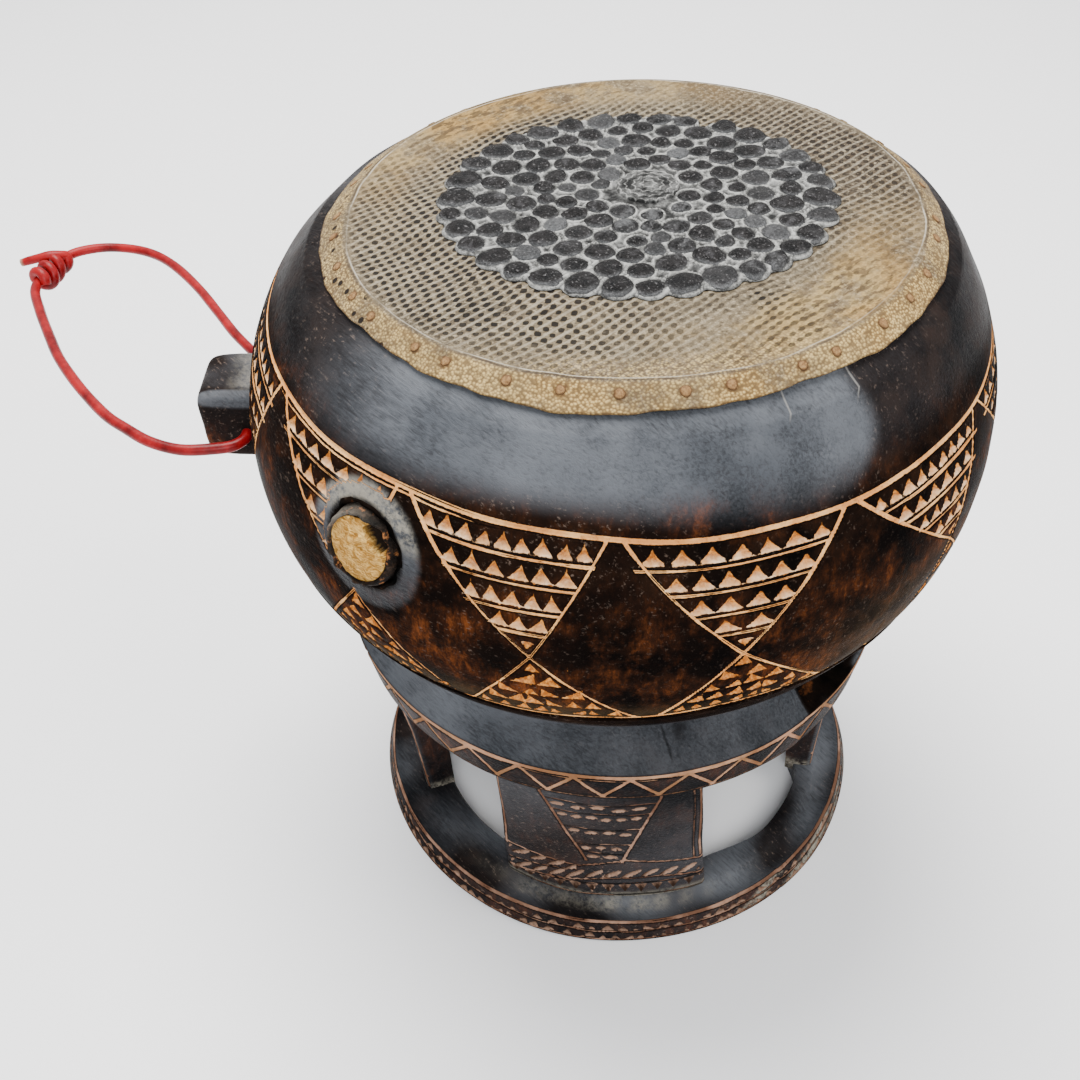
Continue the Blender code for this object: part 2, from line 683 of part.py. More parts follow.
def peg_holes(name, cutters):
    """The holes of all the pegs, a little wider and deeper than they are."""
    bm = bmesh.new()
    for i in range(PEGS):
        add_rod(bm, peg_frame(i), PEG_R + 1.25 * GAP, PEG_PROUD - PEG_LONG - GAP, 4 * MM)
    return as_cutter(name, bm, cutters)


def make_pegs(parts):
    for i in range(PEGS):
        bm = bmesh.new()
        add_rod(bm, peg_frame(i), PEG_R, PEG_PROUD - PEG_LONG, PEG_PROUD)
        hew(add_object(f"skin_peg_{i + 1:02d}", mesh_from(bm, "peg"), parts, "peg_wood"))


def pellet_centres():
    """The pellets' places in a unit disc: a middle rosette and rings round it, each ring turned a little."""
    centres = [Vector((0, 0))]
    for number, (r, count) in enumerate(PELLET_RINGS):
        for j in range(count):
            angle = math.tau * (j + 0.37 * number) / count + 0.05 * math.sin(3.1 * j + number)
            reach = r * (1 + 0.018 * math.sin(5.3 * j + 2 * number))
            centres.append(Vector((reach * math.cos(angle), reach * math.sin(angle))))
    return centres


def circumcentre(a, b, c):
    """The point as far from a as from b and from c."""
    d = 2 * (a.x * (b.y - c.y) + b.x * (c.y - a.y) + c.x * (a.y - b.y))
    ax, bx, cx = a.length_squared, b.length_squared, c.length_squared
    x = (ax * (b.y - c.y) + bx * (c.y - a.y) + cx * (a.y - b.y)) / d
    y = (ax * (c.x - b.x) + bx * (a.x - c.x) + cx * (b.x - a.x)) / d
    return Vector((x, y))


def make_patch(parts):
    """The tuning patch: a pyramid for each pellet, with the valleys halfway between neighbours.

    The valleys are the points as far from three pellets as from each other, so every pellet gets a cell of its
    own. A scalloped edge follows the outer ring.
    """
    centres = pellet_centres()
    triangles = delaunay_2d_cdt(centres, [], [], 0, 1e-5)[2]
    valleys = [circumcentre(*(centres[i] for i in t)) for t in triangles]
    edge_at = PELLET_RINGS[-1][0]
    outer = centres[-PELLET_RINGS[-1][1]:]
    valleys = [v for v in valleys if v.length < edge_at]
    edge = []
    for here, after in zip(outer, outer[1:] + outer[:1], strict=True):
        notch = (here + after) / 2
        edge += [here * (1.055 / edge_at), notch * (1.0 / edge_at)]
    points = centres + valleys + edge
    heights = [PELLET_HIGH] * len(centres) + [MORTAR_HIGH] * len(valleys) + [PATCH_EDGE] * len(edge)
    first = len(centres) + len(valleys)
    loop = [(first + i, first + (i + 1) % len(edge)) for i in range(len(edge))]
    flat, _, faces, origins, _, _ = delaunay_2d_cdt(points, loop, [], 1, 1e-6)
    bm = bmesh.new()
    base_z = SKIN_TOP_Z + GAP
    turn = Matrix.Rotation(SWING_TO, 4, "Z")
    made = []
    for place, origin in zip(flat, origins, strict=True):
        high = heights[origin[0]]
        local = Vector((PATCH_AT[0] + place.x * PATCH_ACROSS, PATCH_AT[1] + place.y * PATCH_DEEP, base_z + high))
        made.append(bm.verts.new(turn @ local))
    for face in faces:
        bm.faces.new([made[i] for i in face])
    rim = [e for e in bm.edges if e.is_boundary]
    skirt = bmesh.ops.extrude_edge_only(bm, edges=rim)["geom"]
    low = [v for v in skirt if isinstance(v, bmesh.types.BMVert)]
    for vertex in low:
        vertex.co.z = base_z
    bmesh.ops.contextual_create(bm, geom=[e for e in bm.edges if e.is_boundary])
    hew(add_object("tuning_patch", mesh_from(bm, "tuning_patch"), parts, "black_wax"))


def make_resonator(parts, cutters):
    """The collar in the side hole, a tube that narrows to its mouth, and the membrane that closes it."""
    frame = side_hole_frame()
    collar = turned(
        "resonator_collar",
        [
            (COLLAR_BORE, COLLAR_PROUD), (COLLAR_MOUTH_R, COLLAR_PROUD), (COLLAR_R, COLLAR_PROUD - 6 * MM),
            (COLLAR_R, -COLLAR_IN), (COLLAR_BORE, -COLLAR_IN), (COLLAR_BORE, COLLAR_PROUD),
        ],
        parts, steps=16, finish="collar_wax",
    )
    collar.matrix_world = frame
    mesh = baked(collar)
    mesh.materials.clear()
    hew(add_object("resonator_collar", mesh, parts, "collar_wax"))
    back = COLLAR_PROUD - MEMBRANE_BACK
    membrane = turned(
        "resonator_membrane",
        [
            (0, back + MEMBRANE_CROWN), (0.6 * MEMBRANE_R, back + 0.75 * MEMBRANE_CROWN), (MEMBRANE_R, back),
            (MEMBRANE_R, back - 1.2 * MM), (0, back - 1.2 * MM),
        ],
        parts, steps=16, finish="silk_membrane",
    )
    membrane.matrix_world = frame
    tear = Matrix.Rotation(math.radians(46), 4, "Z") @ Matrix.Translation((MEMBRANE_R, 0, back))
    bm = bmesh.new()
    size = Matrix.Diagonal((TEAR_WIDE, 1.15 * MEMBRANE_R, 20 * MM, 1))
    bmesh.ops.create_cube(bm, size=1, matrix=frame @ tear @ size)
    membrane = cut(membrane, as_cutter("tear", bm, cutters))
    hew(membrane)


def smooth_route(points, step):
    """Evenly spaced points on a smooth curve through the route's own points (Catmull-Rom)."""
    route = [Vector(p) * MM for p in points]
    route = [2 * route[0] - route[1]] + route + [2 * route[-1] - route[-2]]
    fine = []
    for a, b, c, d in zip(route, route[1:], route[2:], route[3:], strict=False):
        for i in range(12):
            t = i / 12
            fine.append(
                0.5 * (2 * b + (c - a) * t + (2 * a - 5 * b + 4 * c - d) * t**2 + (3 * b - a - 3 * c + d) * t**3)
            )
    fine.append(route[-2])
    lengths = [0.0]
    for a, b in zip(fine, fine[1:], strict=False):
        lengths.append(lengths[-1] + (b - a).length)
    count = round(lengths[-1] / step) + 1
    made, k = [], 0
    for wanted in spread(0.0, lengths[-1], count):
        while k < len(fine) - 2 and lengths[k + 1] < wanted:
            k += 1
        share = (wanted - lengths[k]) / (lengths[k + 1] - lengths[k])
        made.append(fine[k].lerp(fine[k + 1], share))
    return made


def make_strand(name, route, parts):
    """One strand of the cord, a round tube along its smooth route."""
    points = smooth_route(route, CORD_STEP)
    curve = bpy.data.curves.new(name, "CURVE")
    curve.dimensions = "3D"
    curve.bevel_depth = CORD_R
    curve.bevel_resolution = 2
    curve.use_fill_caps = True
    spline = curve.splines.new("POLY")
    spline.points.add(len(points) - 1)
    for place, point in zip(spline.points, points, strict=True):
        place.co = (*point, 1)
    strand = add_object(name + "_curve", curve, parts)
    made = add_object(name, baked(strand), parts, "red_cord")
    made.data.shade_smooth()
    made.data.set_sharp_from_angle(angle=math.radians(50))


def make_knot(parts, cutters):
    """The knot: a barrel of three turns with the cord's cut end standing out of it."""
    axis = KNOT_TO - KNOT_FROM
    long = axis.length
    profile = [(0, long)]
    for i in range(KNOT_TURNS):
        top = long * (1 - i / KNOT_TURNS)
        for share, r in ((0.12, KNOT_WAIST_R), (0.5, KNOT_R), (0.88, KNOT_WAIST_R)):
            profile.append((r, top - share * long / KNOT_TURNS))
    profile.append((0, 0))
    knot = turned("cord_knot", profile, parts, steps=10, finish="red_cord")
    turn = axis.to_track_quat("Z", "Y").to_matrix().to_4x4()
    knot.matrix_world = Matrix.Translation(KNOT_FROM) @ turn
    root = KNOT_FROM + axis * 0.6
    out = Vector((-0.72, -0.66, 0.1)).normalized()
    tail = tube_between("tail", root, root + out * (KNOT_R + TAIL_LONG), TAIL_R, 8, cutters)
    knot = join(knot, tail)
    knot.data.shade_smooth()
    knot.data.set_sharp_from_angle(angle=math.radians(50))


def main():
    clear_scene()
    parts = new_collection("ceremonial_drum")
    cutters = new_collection("cutters")
    make_body(parts, cutters)
    make_skin(parts, cutters)
    make_pegs(parts)
    make_patch(parts)
    make_resonator(parts, cutters)
    make_strand("cord_front", ROUTE_OUT, parts)
    make_strand("cord_back", ROUTE_BACK, parts)
    make_knot(parts, cutters)


main()
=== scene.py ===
"""The looks of a carved ceremonial drum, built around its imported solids.

Lengths are millimetres until a piece is made, and every piece is made at its place in the shared frame. As in
the solids, a surface is first worked out true, turned about Z with a level rim, and then hewn() moves it to
where the hand-cut block has it. Angles called round are measured about Z from +X, in degrees or radians.
"""

import bpy
import numpy as np
from mathutils import Matrix, Vector


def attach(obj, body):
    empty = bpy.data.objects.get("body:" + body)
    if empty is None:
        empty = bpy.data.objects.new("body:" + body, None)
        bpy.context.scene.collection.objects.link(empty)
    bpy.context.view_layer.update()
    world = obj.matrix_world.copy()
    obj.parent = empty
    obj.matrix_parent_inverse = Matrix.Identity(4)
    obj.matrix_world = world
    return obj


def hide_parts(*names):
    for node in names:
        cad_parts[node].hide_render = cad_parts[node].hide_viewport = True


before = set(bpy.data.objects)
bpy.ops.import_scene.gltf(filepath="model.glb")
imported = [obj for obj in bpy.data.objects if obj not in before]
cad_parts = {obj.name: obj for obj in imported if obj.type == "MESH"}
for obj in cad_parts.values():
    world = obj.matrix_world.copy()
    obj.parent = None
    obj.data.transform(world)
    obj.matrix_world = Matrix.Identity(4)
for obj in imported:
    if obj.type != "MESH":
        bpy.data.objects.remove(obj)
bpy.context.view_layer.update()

MM = 0.001
TAU = 2 * np.pi
FRONT = np.radians(46)
ACROSS, AWAY = np.array((np.cos(FRONT), np.sin(FRONT), 0)), np.array((-np.sin(FRONT), np.cos(FRONT), 0))

# The block, as in the solids
HEIGHT, SHIFT_Y = 350, 0.5
SWING, SWING_SKEW, SWING_CENTRE = 5.2, 1.15, 0.75
SLANT, SLANT_FROM, SLANT_FULL = 0.0386, 305, 345
BOWL_R, WIDEST_Z, BOWL_UP, BOWL_DOWN, BOWL_FULLNESS = 163.4, 258, 133, 125, 2.1
CAVITY_R, CAVITY_UP, CAVITY_FLOOR_Z, CAVITY_MOUTH_Z, CAVITY_WIDEST_Z = 148, 116.3, 186, 345, 260
SKIN_TOP_Z, RIDGE_R, SKIN_EDGE_R, SKIN_EDGE_Z, SKIN_THICK, GAP = 349.8, 117.5, 126.3, 343.1, 1.2, 0.3
FOLD_LONG = np.hypot(SKIN_EDGE_R - RIDGE_R, SKIN_TOP_Z - SKIN_EDGE_Z)
FOLD_OUT, FOLD_UP = (SKIN_TOP_Z - SKIN_EDGE_Z) / FOLD_LONG, (SKIN_EDGE_R - RIDGE_R) / FOLD_LONG
NECK_R, NECK_Z, BOWL_LOW_Z = 116, 168, 184
LIP_R, LIP_Z, BAND_R, BAND_Z = 132, 143.2, 128.4, 123
LEG_TOP_R, LEG_TOP_Z, LEG_MID_R, LEG_MID_Z, LEG_FOOT_R, LEG_FOOT_Z = 124.6, 121.5, 115.6, 60, 111.6, 14.2
DISH_R, DISH_Z, FOOT_LIP_R, FOOT_LIP_Z, FOOT_R = 118.5, 11.6, 126.2, 13.3, 129.5
HOLLOW_R, HOLLOW_WALL_Z, HOLLOW_TOP_Z = 97.3, 128, 172
LEGS = ((38, 72), (112, 160), (206, 248), (291.5, 337.5))
WINDOW_LOW, WINDOW_HIGH, WINDOW_NARROWING = 13.7, 121, 4.5
WALL_MIDDLE = ((150, 300),)
BORDER_Z, BORDER_DIP, BORDER_LOW_Z, APEX_Z = 310, 2.6, 213, 255.5
FIRST_CORNER, FIELD = -44, 30
CORNER_WANDER = (0, 3.6, 4, 2, 0, -1.5, 1, 2, 0, -2, -1, -1)
APEX_LEAN = (1.5, 8, 5, 3, 5, 6, 4, 3, 5, 6, 8.2, 5.4)
BASE_LEFT, BASE_RIGHT = 10.3, 15.2
FIELDS = len(CORNER_WANDER)
ROW_HIGH, LINE_HALF, ROW_HALF = 10.6, 0.72, 0.72
HOLE_AT, HOLE_Z, HOLE_R, LAND_R, LAND_DEEP = np.radians(-80), 281.5, 18, 27, 2.0

# What a layer says where nothing is cut
UNCUT = -4.0


def smooth(share):
    """An even rise from 0 to 1: 3s^2 - 2s^3, flat at both ends."""
    share = np.clip(share, 0, 1)
    return share * share * (3 - 2 * share)


def between(value, low, high):
    """0 below low, 1 above high, and an even rise from one to the other. With low above high it falls."""
    return smooth((value - low) / (high - low))


def hewn(points):
    """Where points of the true turned drum lie in the hand-cut one.

    The rim rises towards +X by SLANT, and the bowl and the ring swing out against the view by a skewed sine
    of the height.
    """
    x, y, z = np.moveaxis(np.asarray(points, float), -1, 0)
    z = z + SLANT * x * smooth((z - SLANT_FROM) / (SLANT_FULL - SLANT_FROM))
    share = np.clip(z / HEIGHT, 0, 1)
    swing = SWING * (SWING_CENTRE - np.sin(np.pi * share**SWING_SKEW))
    return np.stack((x + swing * ACROSS[0], y + swing * ACROSS[1] + SHIFT_Y, z), -1)


def waves(a, b, seed, count=7, rough=1.0):
    """A gentle unevenness within about -1 and 1: the mean of a few crossed sines, turned by the seed."""
    draw = np.random.default_rng(seed)
    total = 0
    for _ in range(count):
        u, v = draw.uniform(-1, 1, 2) * rough
        total = total + np.sin(u * a + v * b + draw.uniform(0, TAU))
    return total / np.sqrt(count)


# Meshes from grids of points


def grid_faces(rows, columns):
    """The four-cornered faces of a grid whose last column joins its first, numbered row by row."""
    index = np.arange(rows * columns).reshape(rows, columns)
    after = np.roll(index, -1, axis=1)
    return np.stack((index[:-1], index[1:], after[1:], after[:-1]), -1).reshape(-1, 4)


def make_piece(name, grids, finish, layers=None, flip=False, hew=True, sharp=None):
    """A mesh of one grid of points (rows, columns, 3), or of many alike (count, rows, columns, 3).

    A grid's last column joins its first. Points that fall together, as at a pole, are merged, and the layers
    are numbers kept on the points for the finish to read. flip turns the faces over, hew moves the points to
    where the hand-cut block has them, and sharp is the angle in degrees above which an edge stays hard.
    """
    grids = np.asarray(grids, float)
    grids = grids[None] if grids.ndim == 3 else grids
    count, rows, columns, _ = grids.shape
    points = grids.reshape(-1, 3)
    points = (hewn(points) if hew else points) * MM
    faces = grid_faces(rows, columns)
    faces = (faces[None] + (np.arange(count) * rows * columns)[:, None, None]).reshape(-1, 4)
    near = np.round(points * 2e6).astype(np.int64)
    _, first, same = np.unique(near, axis=0, return_index=True, return_inverse=True)
    faces = same.reshape(-1)[faces]
    faces = faces[:, ::-1] if flip else faces
    double = faces == np.roll(faces, -1, axis=1)
    lists = faces[~double.any(1)].tolist()
    for corner in range(4):
        thin = faces[double[:, corner] & (double.sum(1) == 1)]
        lists += np.delete(thin, corner, axis=1).tolist()
    mesh = bpy.data.meshes.new(name)
    mesh.from_pydata(points[first].tolist(), [], lists)
    for layer, values in (layers or {}).items():
        values = np.broadcast_to(values, grids.shape[:-1]).reshape(-1)[first]
        mesh.attributes.new(layer, "FLOAT", "POINT").data.foreach_set("value", values.astype(np.float32))
    mesh.validate()
    mesh.shade_smooth()
    if sharp:
        mesh.set_sharp_from_angle(angle=np.radians(sharp))
    mesh.materials.append(finish)
    piece = bpy.data.objects.new(name, mesh)
    bpy.context.scene.collection.objects.link(piece)
    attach(piece, "root")
    return piece


# Finishes


class Finish:
    """One material, built on its Principled shader from short calls that each return a socket."""

    def __init__(self, name, **fixed):
        self.material = bpy.data.materials.new(name)
        self.material.use_nodes = True
        self.tree = self.material.node_tree
        self.shader = self.tree.nodes["Principled BSDF"]
        for socket, value in fixed.items():
            self.shader.inputs[socket.replace("_", " ")].default_value = value
        self.place = self.node("TexCoord").outputs["Object"]

    def node(self, kind, inputs=(), **settings):
        """A new node of the material, with its settings and its inputs."""
        made = self.tree.nodes.new("ShaderNode" + kind)
        for key, value in settings.items():
            setattr(made, key, value)
        for key, value in dict(inputs).items():
            self.put(made.inputs[key], value)
        return made

    def put(self, socket, value):
        """Gives a socket a link from another, or a plain value."""
        if isinstance(value, bpy.types.NodeSocket):
            self.tree.links.new(value, socket)
        else:
            socket.default_value = value

    def set(self, socket, value):
        """Gives one of the shader's inputs a link or a value."""
        self.put(self.shader.inputs[socket], value)

    def math(self, operation, *values, clamp=False):
        return self.node("Math", enumerate(values), operation=operation, use_clamp=clamp).outputs[0]

    def chain(self, operation, values):
        """One operation carried through any number of values."""
        total = values[0]
        for value in values[1:]:
            total = self.math(operation, total, value)
        return total

    def times(self, *values):
        return self.chain("MULTIPLY", values)

    def plus(self, *values):
        return self.chain("ADD", values)

    def most(self, *values):
        return self.chain("MAXIMUM", values)

    def least(self, *values):
        return self.chain("MINIMUM", values)

    def weighed(self, *parts):
        """The sum of values, given as (value, weight) pairs."""
        return self.plus(*(self.times(value, weight) for value, weight in parts))

    def less(self, a, b):
        return self.math("SUBTRACT", a, b)

    def size(self, value):
        """The value without its sign."""
        return self.math("ABSOLUTE", value)

    def rise(self, value, low, high, to_low=0.0, to_high=1.0):
        """The value carried from low..high to to_low..to_high, gently at both ends and no further."""
        inputs = {0: value, 1: low, 2: high, 3: to_low, 4: to_high}
        return self.node("MapRange", inputs, interpolation_type="SMOOTHSTEP").outputs[0]

    def layer(self, name):
        """The numbers that make_piece kept on the points under a name."""
        return self.node("Attribute", attribute_name=name).outputs["Fac"]

    def scaled(self, x, y, z, turn=(0, 0, 0), at=None):
        """The place with each axis stretched, for a pattern that runs one way."""
        turn = tuple(np.radians(turn))
        inputs = {"Vector": at or self.place, "Rotation": turn, "Scale": (x, y, z)}
        return self.node("Mapping", inputs).outputs[0]

    def noise(self, scale, detail=4.0, roughness=0.6, at=None, distortion=0.0):
        inputs = {"Vector": at or self.place, "Scale": scale, "Detail": detail, "Roughness": roughness}
        return self.node("TexNoise", {**inputs, "Distortion": distortion}).outputs["Fac"]

    def cells(self, scale, feature="F1", at=None, output="Distance", randomness=1.0):
        inputs = {"Vector": at or self.place, "Scale": scale, "Randomness": randomness}
        return self.node("TexVoronoi", inputs, feature=feature).outputs[output]

    def mix(self, share, a, b, blend="MIX"):
        made = self.node("Mix", data_type="RGBA", blend_type=blend)
        for index, value in ((0, share), (6, a), (7, b)):
            colour = isinstance(value, tuple) and len(value) == 3
            self.put(made.inputs[index], (*value, 1) if colour else value)
        return made.outputs[2]

    def ramp(self, value, *stops):
        """A run of colours or of numbers, given as (place, value) pairs."""
        made = self.node("ValToRGB", {0: value})
        ramp = made.color_ramp
        while len(ramp.elements) < len(stops):
            ramp.elements.new(0.5)
        for element, (place, colour) in zip(ramp.elements, stops, strict=True):
            element.position = place
            element.color = (*colour, 1) if isinstance(colour, tuple) else (colour, colour, colour, 1)
        return made.outputs[0]

    def bump(self, height, strength=1.0, depth=0.001):
        return self.node("Bump", {"Height": height, "Strength": strength, "Distance": depth}).outputs[0]

    def done(self, colour, rough, height, strength, depth):
        """The material, once its colour, its roughness and its bump's height are given."""
        self.set("Base Color", colour)
        self.set("Roughness", rough)
        self.set("Normal", self.bump(height, strength, depth))
        return self.material


def field_lines(f, ragged):
    """How far inside the bowl's cut lines a place is, in mm, from its layers.

    hang and stand are the distances inside the hanging and the standing fields. rows counts the rows down
    from the upper border, 0 on it, and each row but the last ends in a line, split here and there. base is
    the height over the lower border.
    """
    rows, hang, stand, base = (f.layer(name) for name in ("rows", "hang", "stand", "base"))
    wobble = f.times(f.less(f.noise(55, 2), 0.5), 1.4)
    down = f.times(rows, ROW_HIGH)
    patchy = f.rise(f.noise(8, 2), 0.44, 0.56, 0.45, -0.5)
    upper = f.most(f.less(1.0, f.size(down)), f.less(patchy, f.size(f.plus(down, -2.0, wobble))))
    inside = f.most(hang, stand)
    wide = f.rise(f.noise(14, 2), 0.46, 0.58, 0.58, 0.95)
    hollow = f.times(f.rise(f.size(inside), 0.28, 0.08), f.rise(f.noise(16, 2), 0.50, 0.58), 0.7)
    side = f.less(f.less(wide, f.size(inside)), hollow)
    number = f.math("ROUND", rows)
    off = f.times(f.less(rows, number), ROW_HIGH)
    split = f.times(f.rise(f.size(off), 0.25, 0.08), f.rise(f.noise(70, 2), 0.42, 0.55), 0.6)
    pair = f.less(f.less(f.rise(f.noise(18, 2), 0.44, 0.56, 0.56, 0.80), f.size(off)), split)
    overshoot = f.plus(hang, f.rise(f.noise(21, 2), 0.50, 0.60, 0.5, 3.6))
    inner = f.least(overshoot, f.times(f.less(number, 0.5), 9.0), f.times(f.less(4.5, number), 9.0))
    low = f.plus(f.less(0.75, f.size(base)), f.times(f.less(f.noise(260, 2), 0.55), 2.0))
    return f.plus(f.most(upper, side, f.least(pair, inner), low), f.times(ragged, 0.8))


def carved_wood(name="carved_wood", with_fields=False):
    """Old dark wood, polished by hands: red-brown where it is worn, tan where cut, and blue-grey where dust
    lies and where a painted sheen stands for the sky's reflection.

    Layers: line and chip are how far a point is inside a cut, in mm; facet is above 0 on a chip's lower face,
    which is painted paler, partly as painted light; dust_and_sheen, warm, olive, chalk and aged run from 0
    to 1; char_and_shade blackens burnt wood and paints the shade in the neck's break; drip is the distance
    from a drip's middle in mm, shown where dripping is above 0.
    """
    f = Finish(name, IOR=1.2)
    broad, middle, fine = f.noise(11, 5), f.noise(48, 5, 0.65), f.noise(420, 4, 0.7)
    fibre = f.noise(90, 5, 0.7, at=f.scaled(9, 9, 1.2, turn=(0, 30, 10)))
    strokes = f.noise(150, 5, 0.78, at=f.scaled(1, 1, 0.45, turn=(40, -30, 0)), distortion=0.3)
    scratch = f.noise(130, 3, 0.65, at=f.scaled(1, 7, 7, turn=(20, 35, 40)), distortion=0.5)

    dark = f.ramp(broad, (0.34, (0.0018, 0.0015, 0.0015)), (0.62, (0.0075, 0.0043, 0.0031)))
    dark = f.mix(f.rise(middle, 0.42, 0.72, 0.0, 0.7), dark, (0.017, 0.0085, 0.005))
    warm = f.times(f.layer("warm"), f.rise(f.weighed((broad, 0.35), (middle, 0.65)), 0.41, 0.60))
    browns = (0.36, (0.009, 0.004, 0.0025)), (0.50, (0.044, 0.0130, 0.0048)), (0.68, (0.22, 0.060, 0.014))
    red = f.ramp(strokes, *browns)
    red = f.mix(f.rise(fibre, 0.35, 0.62), f.mix(0.55, red, (0.008, 0.004, 0.003)), red)
    colour = f.mix(warm, dark, red)
    specks = f.times(f.rise(f.times(fine, scratch), 0.30, 0.42), f.rise(broad, 0.40, 0.62, 0.15, 0.8))
    colour = f.mix(specks, colour, (0.12, 0.085, 0.065))

    # Grey where dust_and_sheen says: dust, and on the bowl's shoulder a painted sheen that stands for the
    # sky's reflection.
    cloud = f.rise(f.weighed((broad, 0.3), (middle, 0.3), (scratch, 0.4)), 0.33, 0.56, 0.38, 1.0)
    dust_and_sheen = f.times(f.layer("dust_and_sheen"), cloud)
    grey = f.mix(f.rise(broad, 0.35, 0.65), (0.048, 0.053, 0.061), (0.100, 0.107, 0.119))
    colour = f.mix(dust_and_sheen, colour, grey)
    smear = f.rise(f.weighed((middle, 0.5), (strokes, 0.5)), 0.38, 0.58, 0.25, 0.9)
    colour = f.mix(f.times(f.layer("olive"), smear), colour, (0.050, 0.034, 0.0185))
    powder = f.rise(f.weighed((fine, 0.5), (middle, 0.5)), 0.38, 0.56)
    colour = f.mix(f.times(f.layer("chalk"), powder), colour, (0.27, 0.245, 0.195))
    drip = f.times(f.layer("dripping"), f.rise(f.size(f.layer("drip")), 0.5, 0.12), 0.4)
    colour = f.mix(drip, colour, (0.27, 0.26, 0.24))

    ragged = f.plus(f.times(f.noise(700, 2, 0.6), 0.6), f.times(f.noise(150, 2), 0.5), -0.55)
    edge = f.plus(f.layer("line"), ragged)
    if with_fields:
        edge = f.most(edge, field_lines(f, ragged))
    line = f.rise(edge, 0.0, 0.25)
    # A near-black fringe along each cut line is painted shade at the groove's edges.
    colour = f.mix(f.rise(edge, -0.75, -0.2, 0.0, 0.8), colour, (0.0022, 0.0018, 0.0017))
    cut = f.mix(f.rise(middle, 0.4, 0.65), (0.60, 0.255, 0.078), (0.78, 0.43, 0.17))
    cut = f.mix(f.rise(fine, 0.48, 0.72, 0.0, 0.6), cut, (0.26, 0.085, 0.026))
    worn = f.mix(f.rise(f.noise(38, 4), 0.42, 0.62), (0.115, 0.056, 0.034), (0.29, 0.170, 0.115))
    colour = f.mix(line, colour, f.mix(f.layer("aged"), cut, worn))

    # Each notch runs from orange at its point to pale at its base, an aged one from near-black. This is
    # partly the cut wood's own colour and partly painted light, with the lower face lit and the point in
    # shade.
    chip = f.rise(f.plus(f.layer("chip"), f.times(ragged, 1.2)), 0.0, 0.30)
    lower = f.rise(f.plus(f.layer("facet"), f.times(ragged, 2.6)), -0.1, 2.1)
    orange = f.mix(f.rise(fine, 0.4, 0.65), (0.30, 0.092, 0.016), (0.64, 0.27, 0.062))
    pale = f.mix(f.rise(f.noise(190, 3), 0.4, 0.65), (0.70, 0.40, 0.19), (0.84, 0.60, 0.38))
    old_face = f.mix(f.noise(210, 2), (0.13, 0.065, 0.04), (0.42, 0.27, 0.19))
    old_notch = f.mix(lower, (0.028, 0.015, 0.010), old_face)
    colour = f.mix(chip, colour, f.mix(f.layer("aged"), f.mix(lower, orange, pale), old_notch))
    # char_and_shade blackens burnt wood, and paints the shade inside the neck's break.
    blacks = (0.4, (0.0012, 0.0012, 0.0012)), (0.62, (0.006, 0.004, 0.003)), (0.7, (0.09, 0.03, 0.01))
    colour = f.mix(f.layer("char_and_shade"), colour, f.ramp(middle, *blacks))

    rough = f.plus(f.rise(middle, 0.3, 0.7, 0.26, 0.38), f.times(dust_and_sheen, 0.16))
    rough = f.plus(rough, f.times(f.most(line, chip), 0.3))
    f.set("Specular IOR Level", f.plus(0.004, f.times(dust_and_sheen, 0.4)))
    height = f.weighed((fibre, 0.3), (fine, 0.3), (scratch, 0.6), (middle, 0.9))
    height = f.plus(height, f.times(strokes, f.layer("warm"), 0.9), f.times(line, -0.7))
    return f.done(colour, rough, height, 0.6, 0.0010)


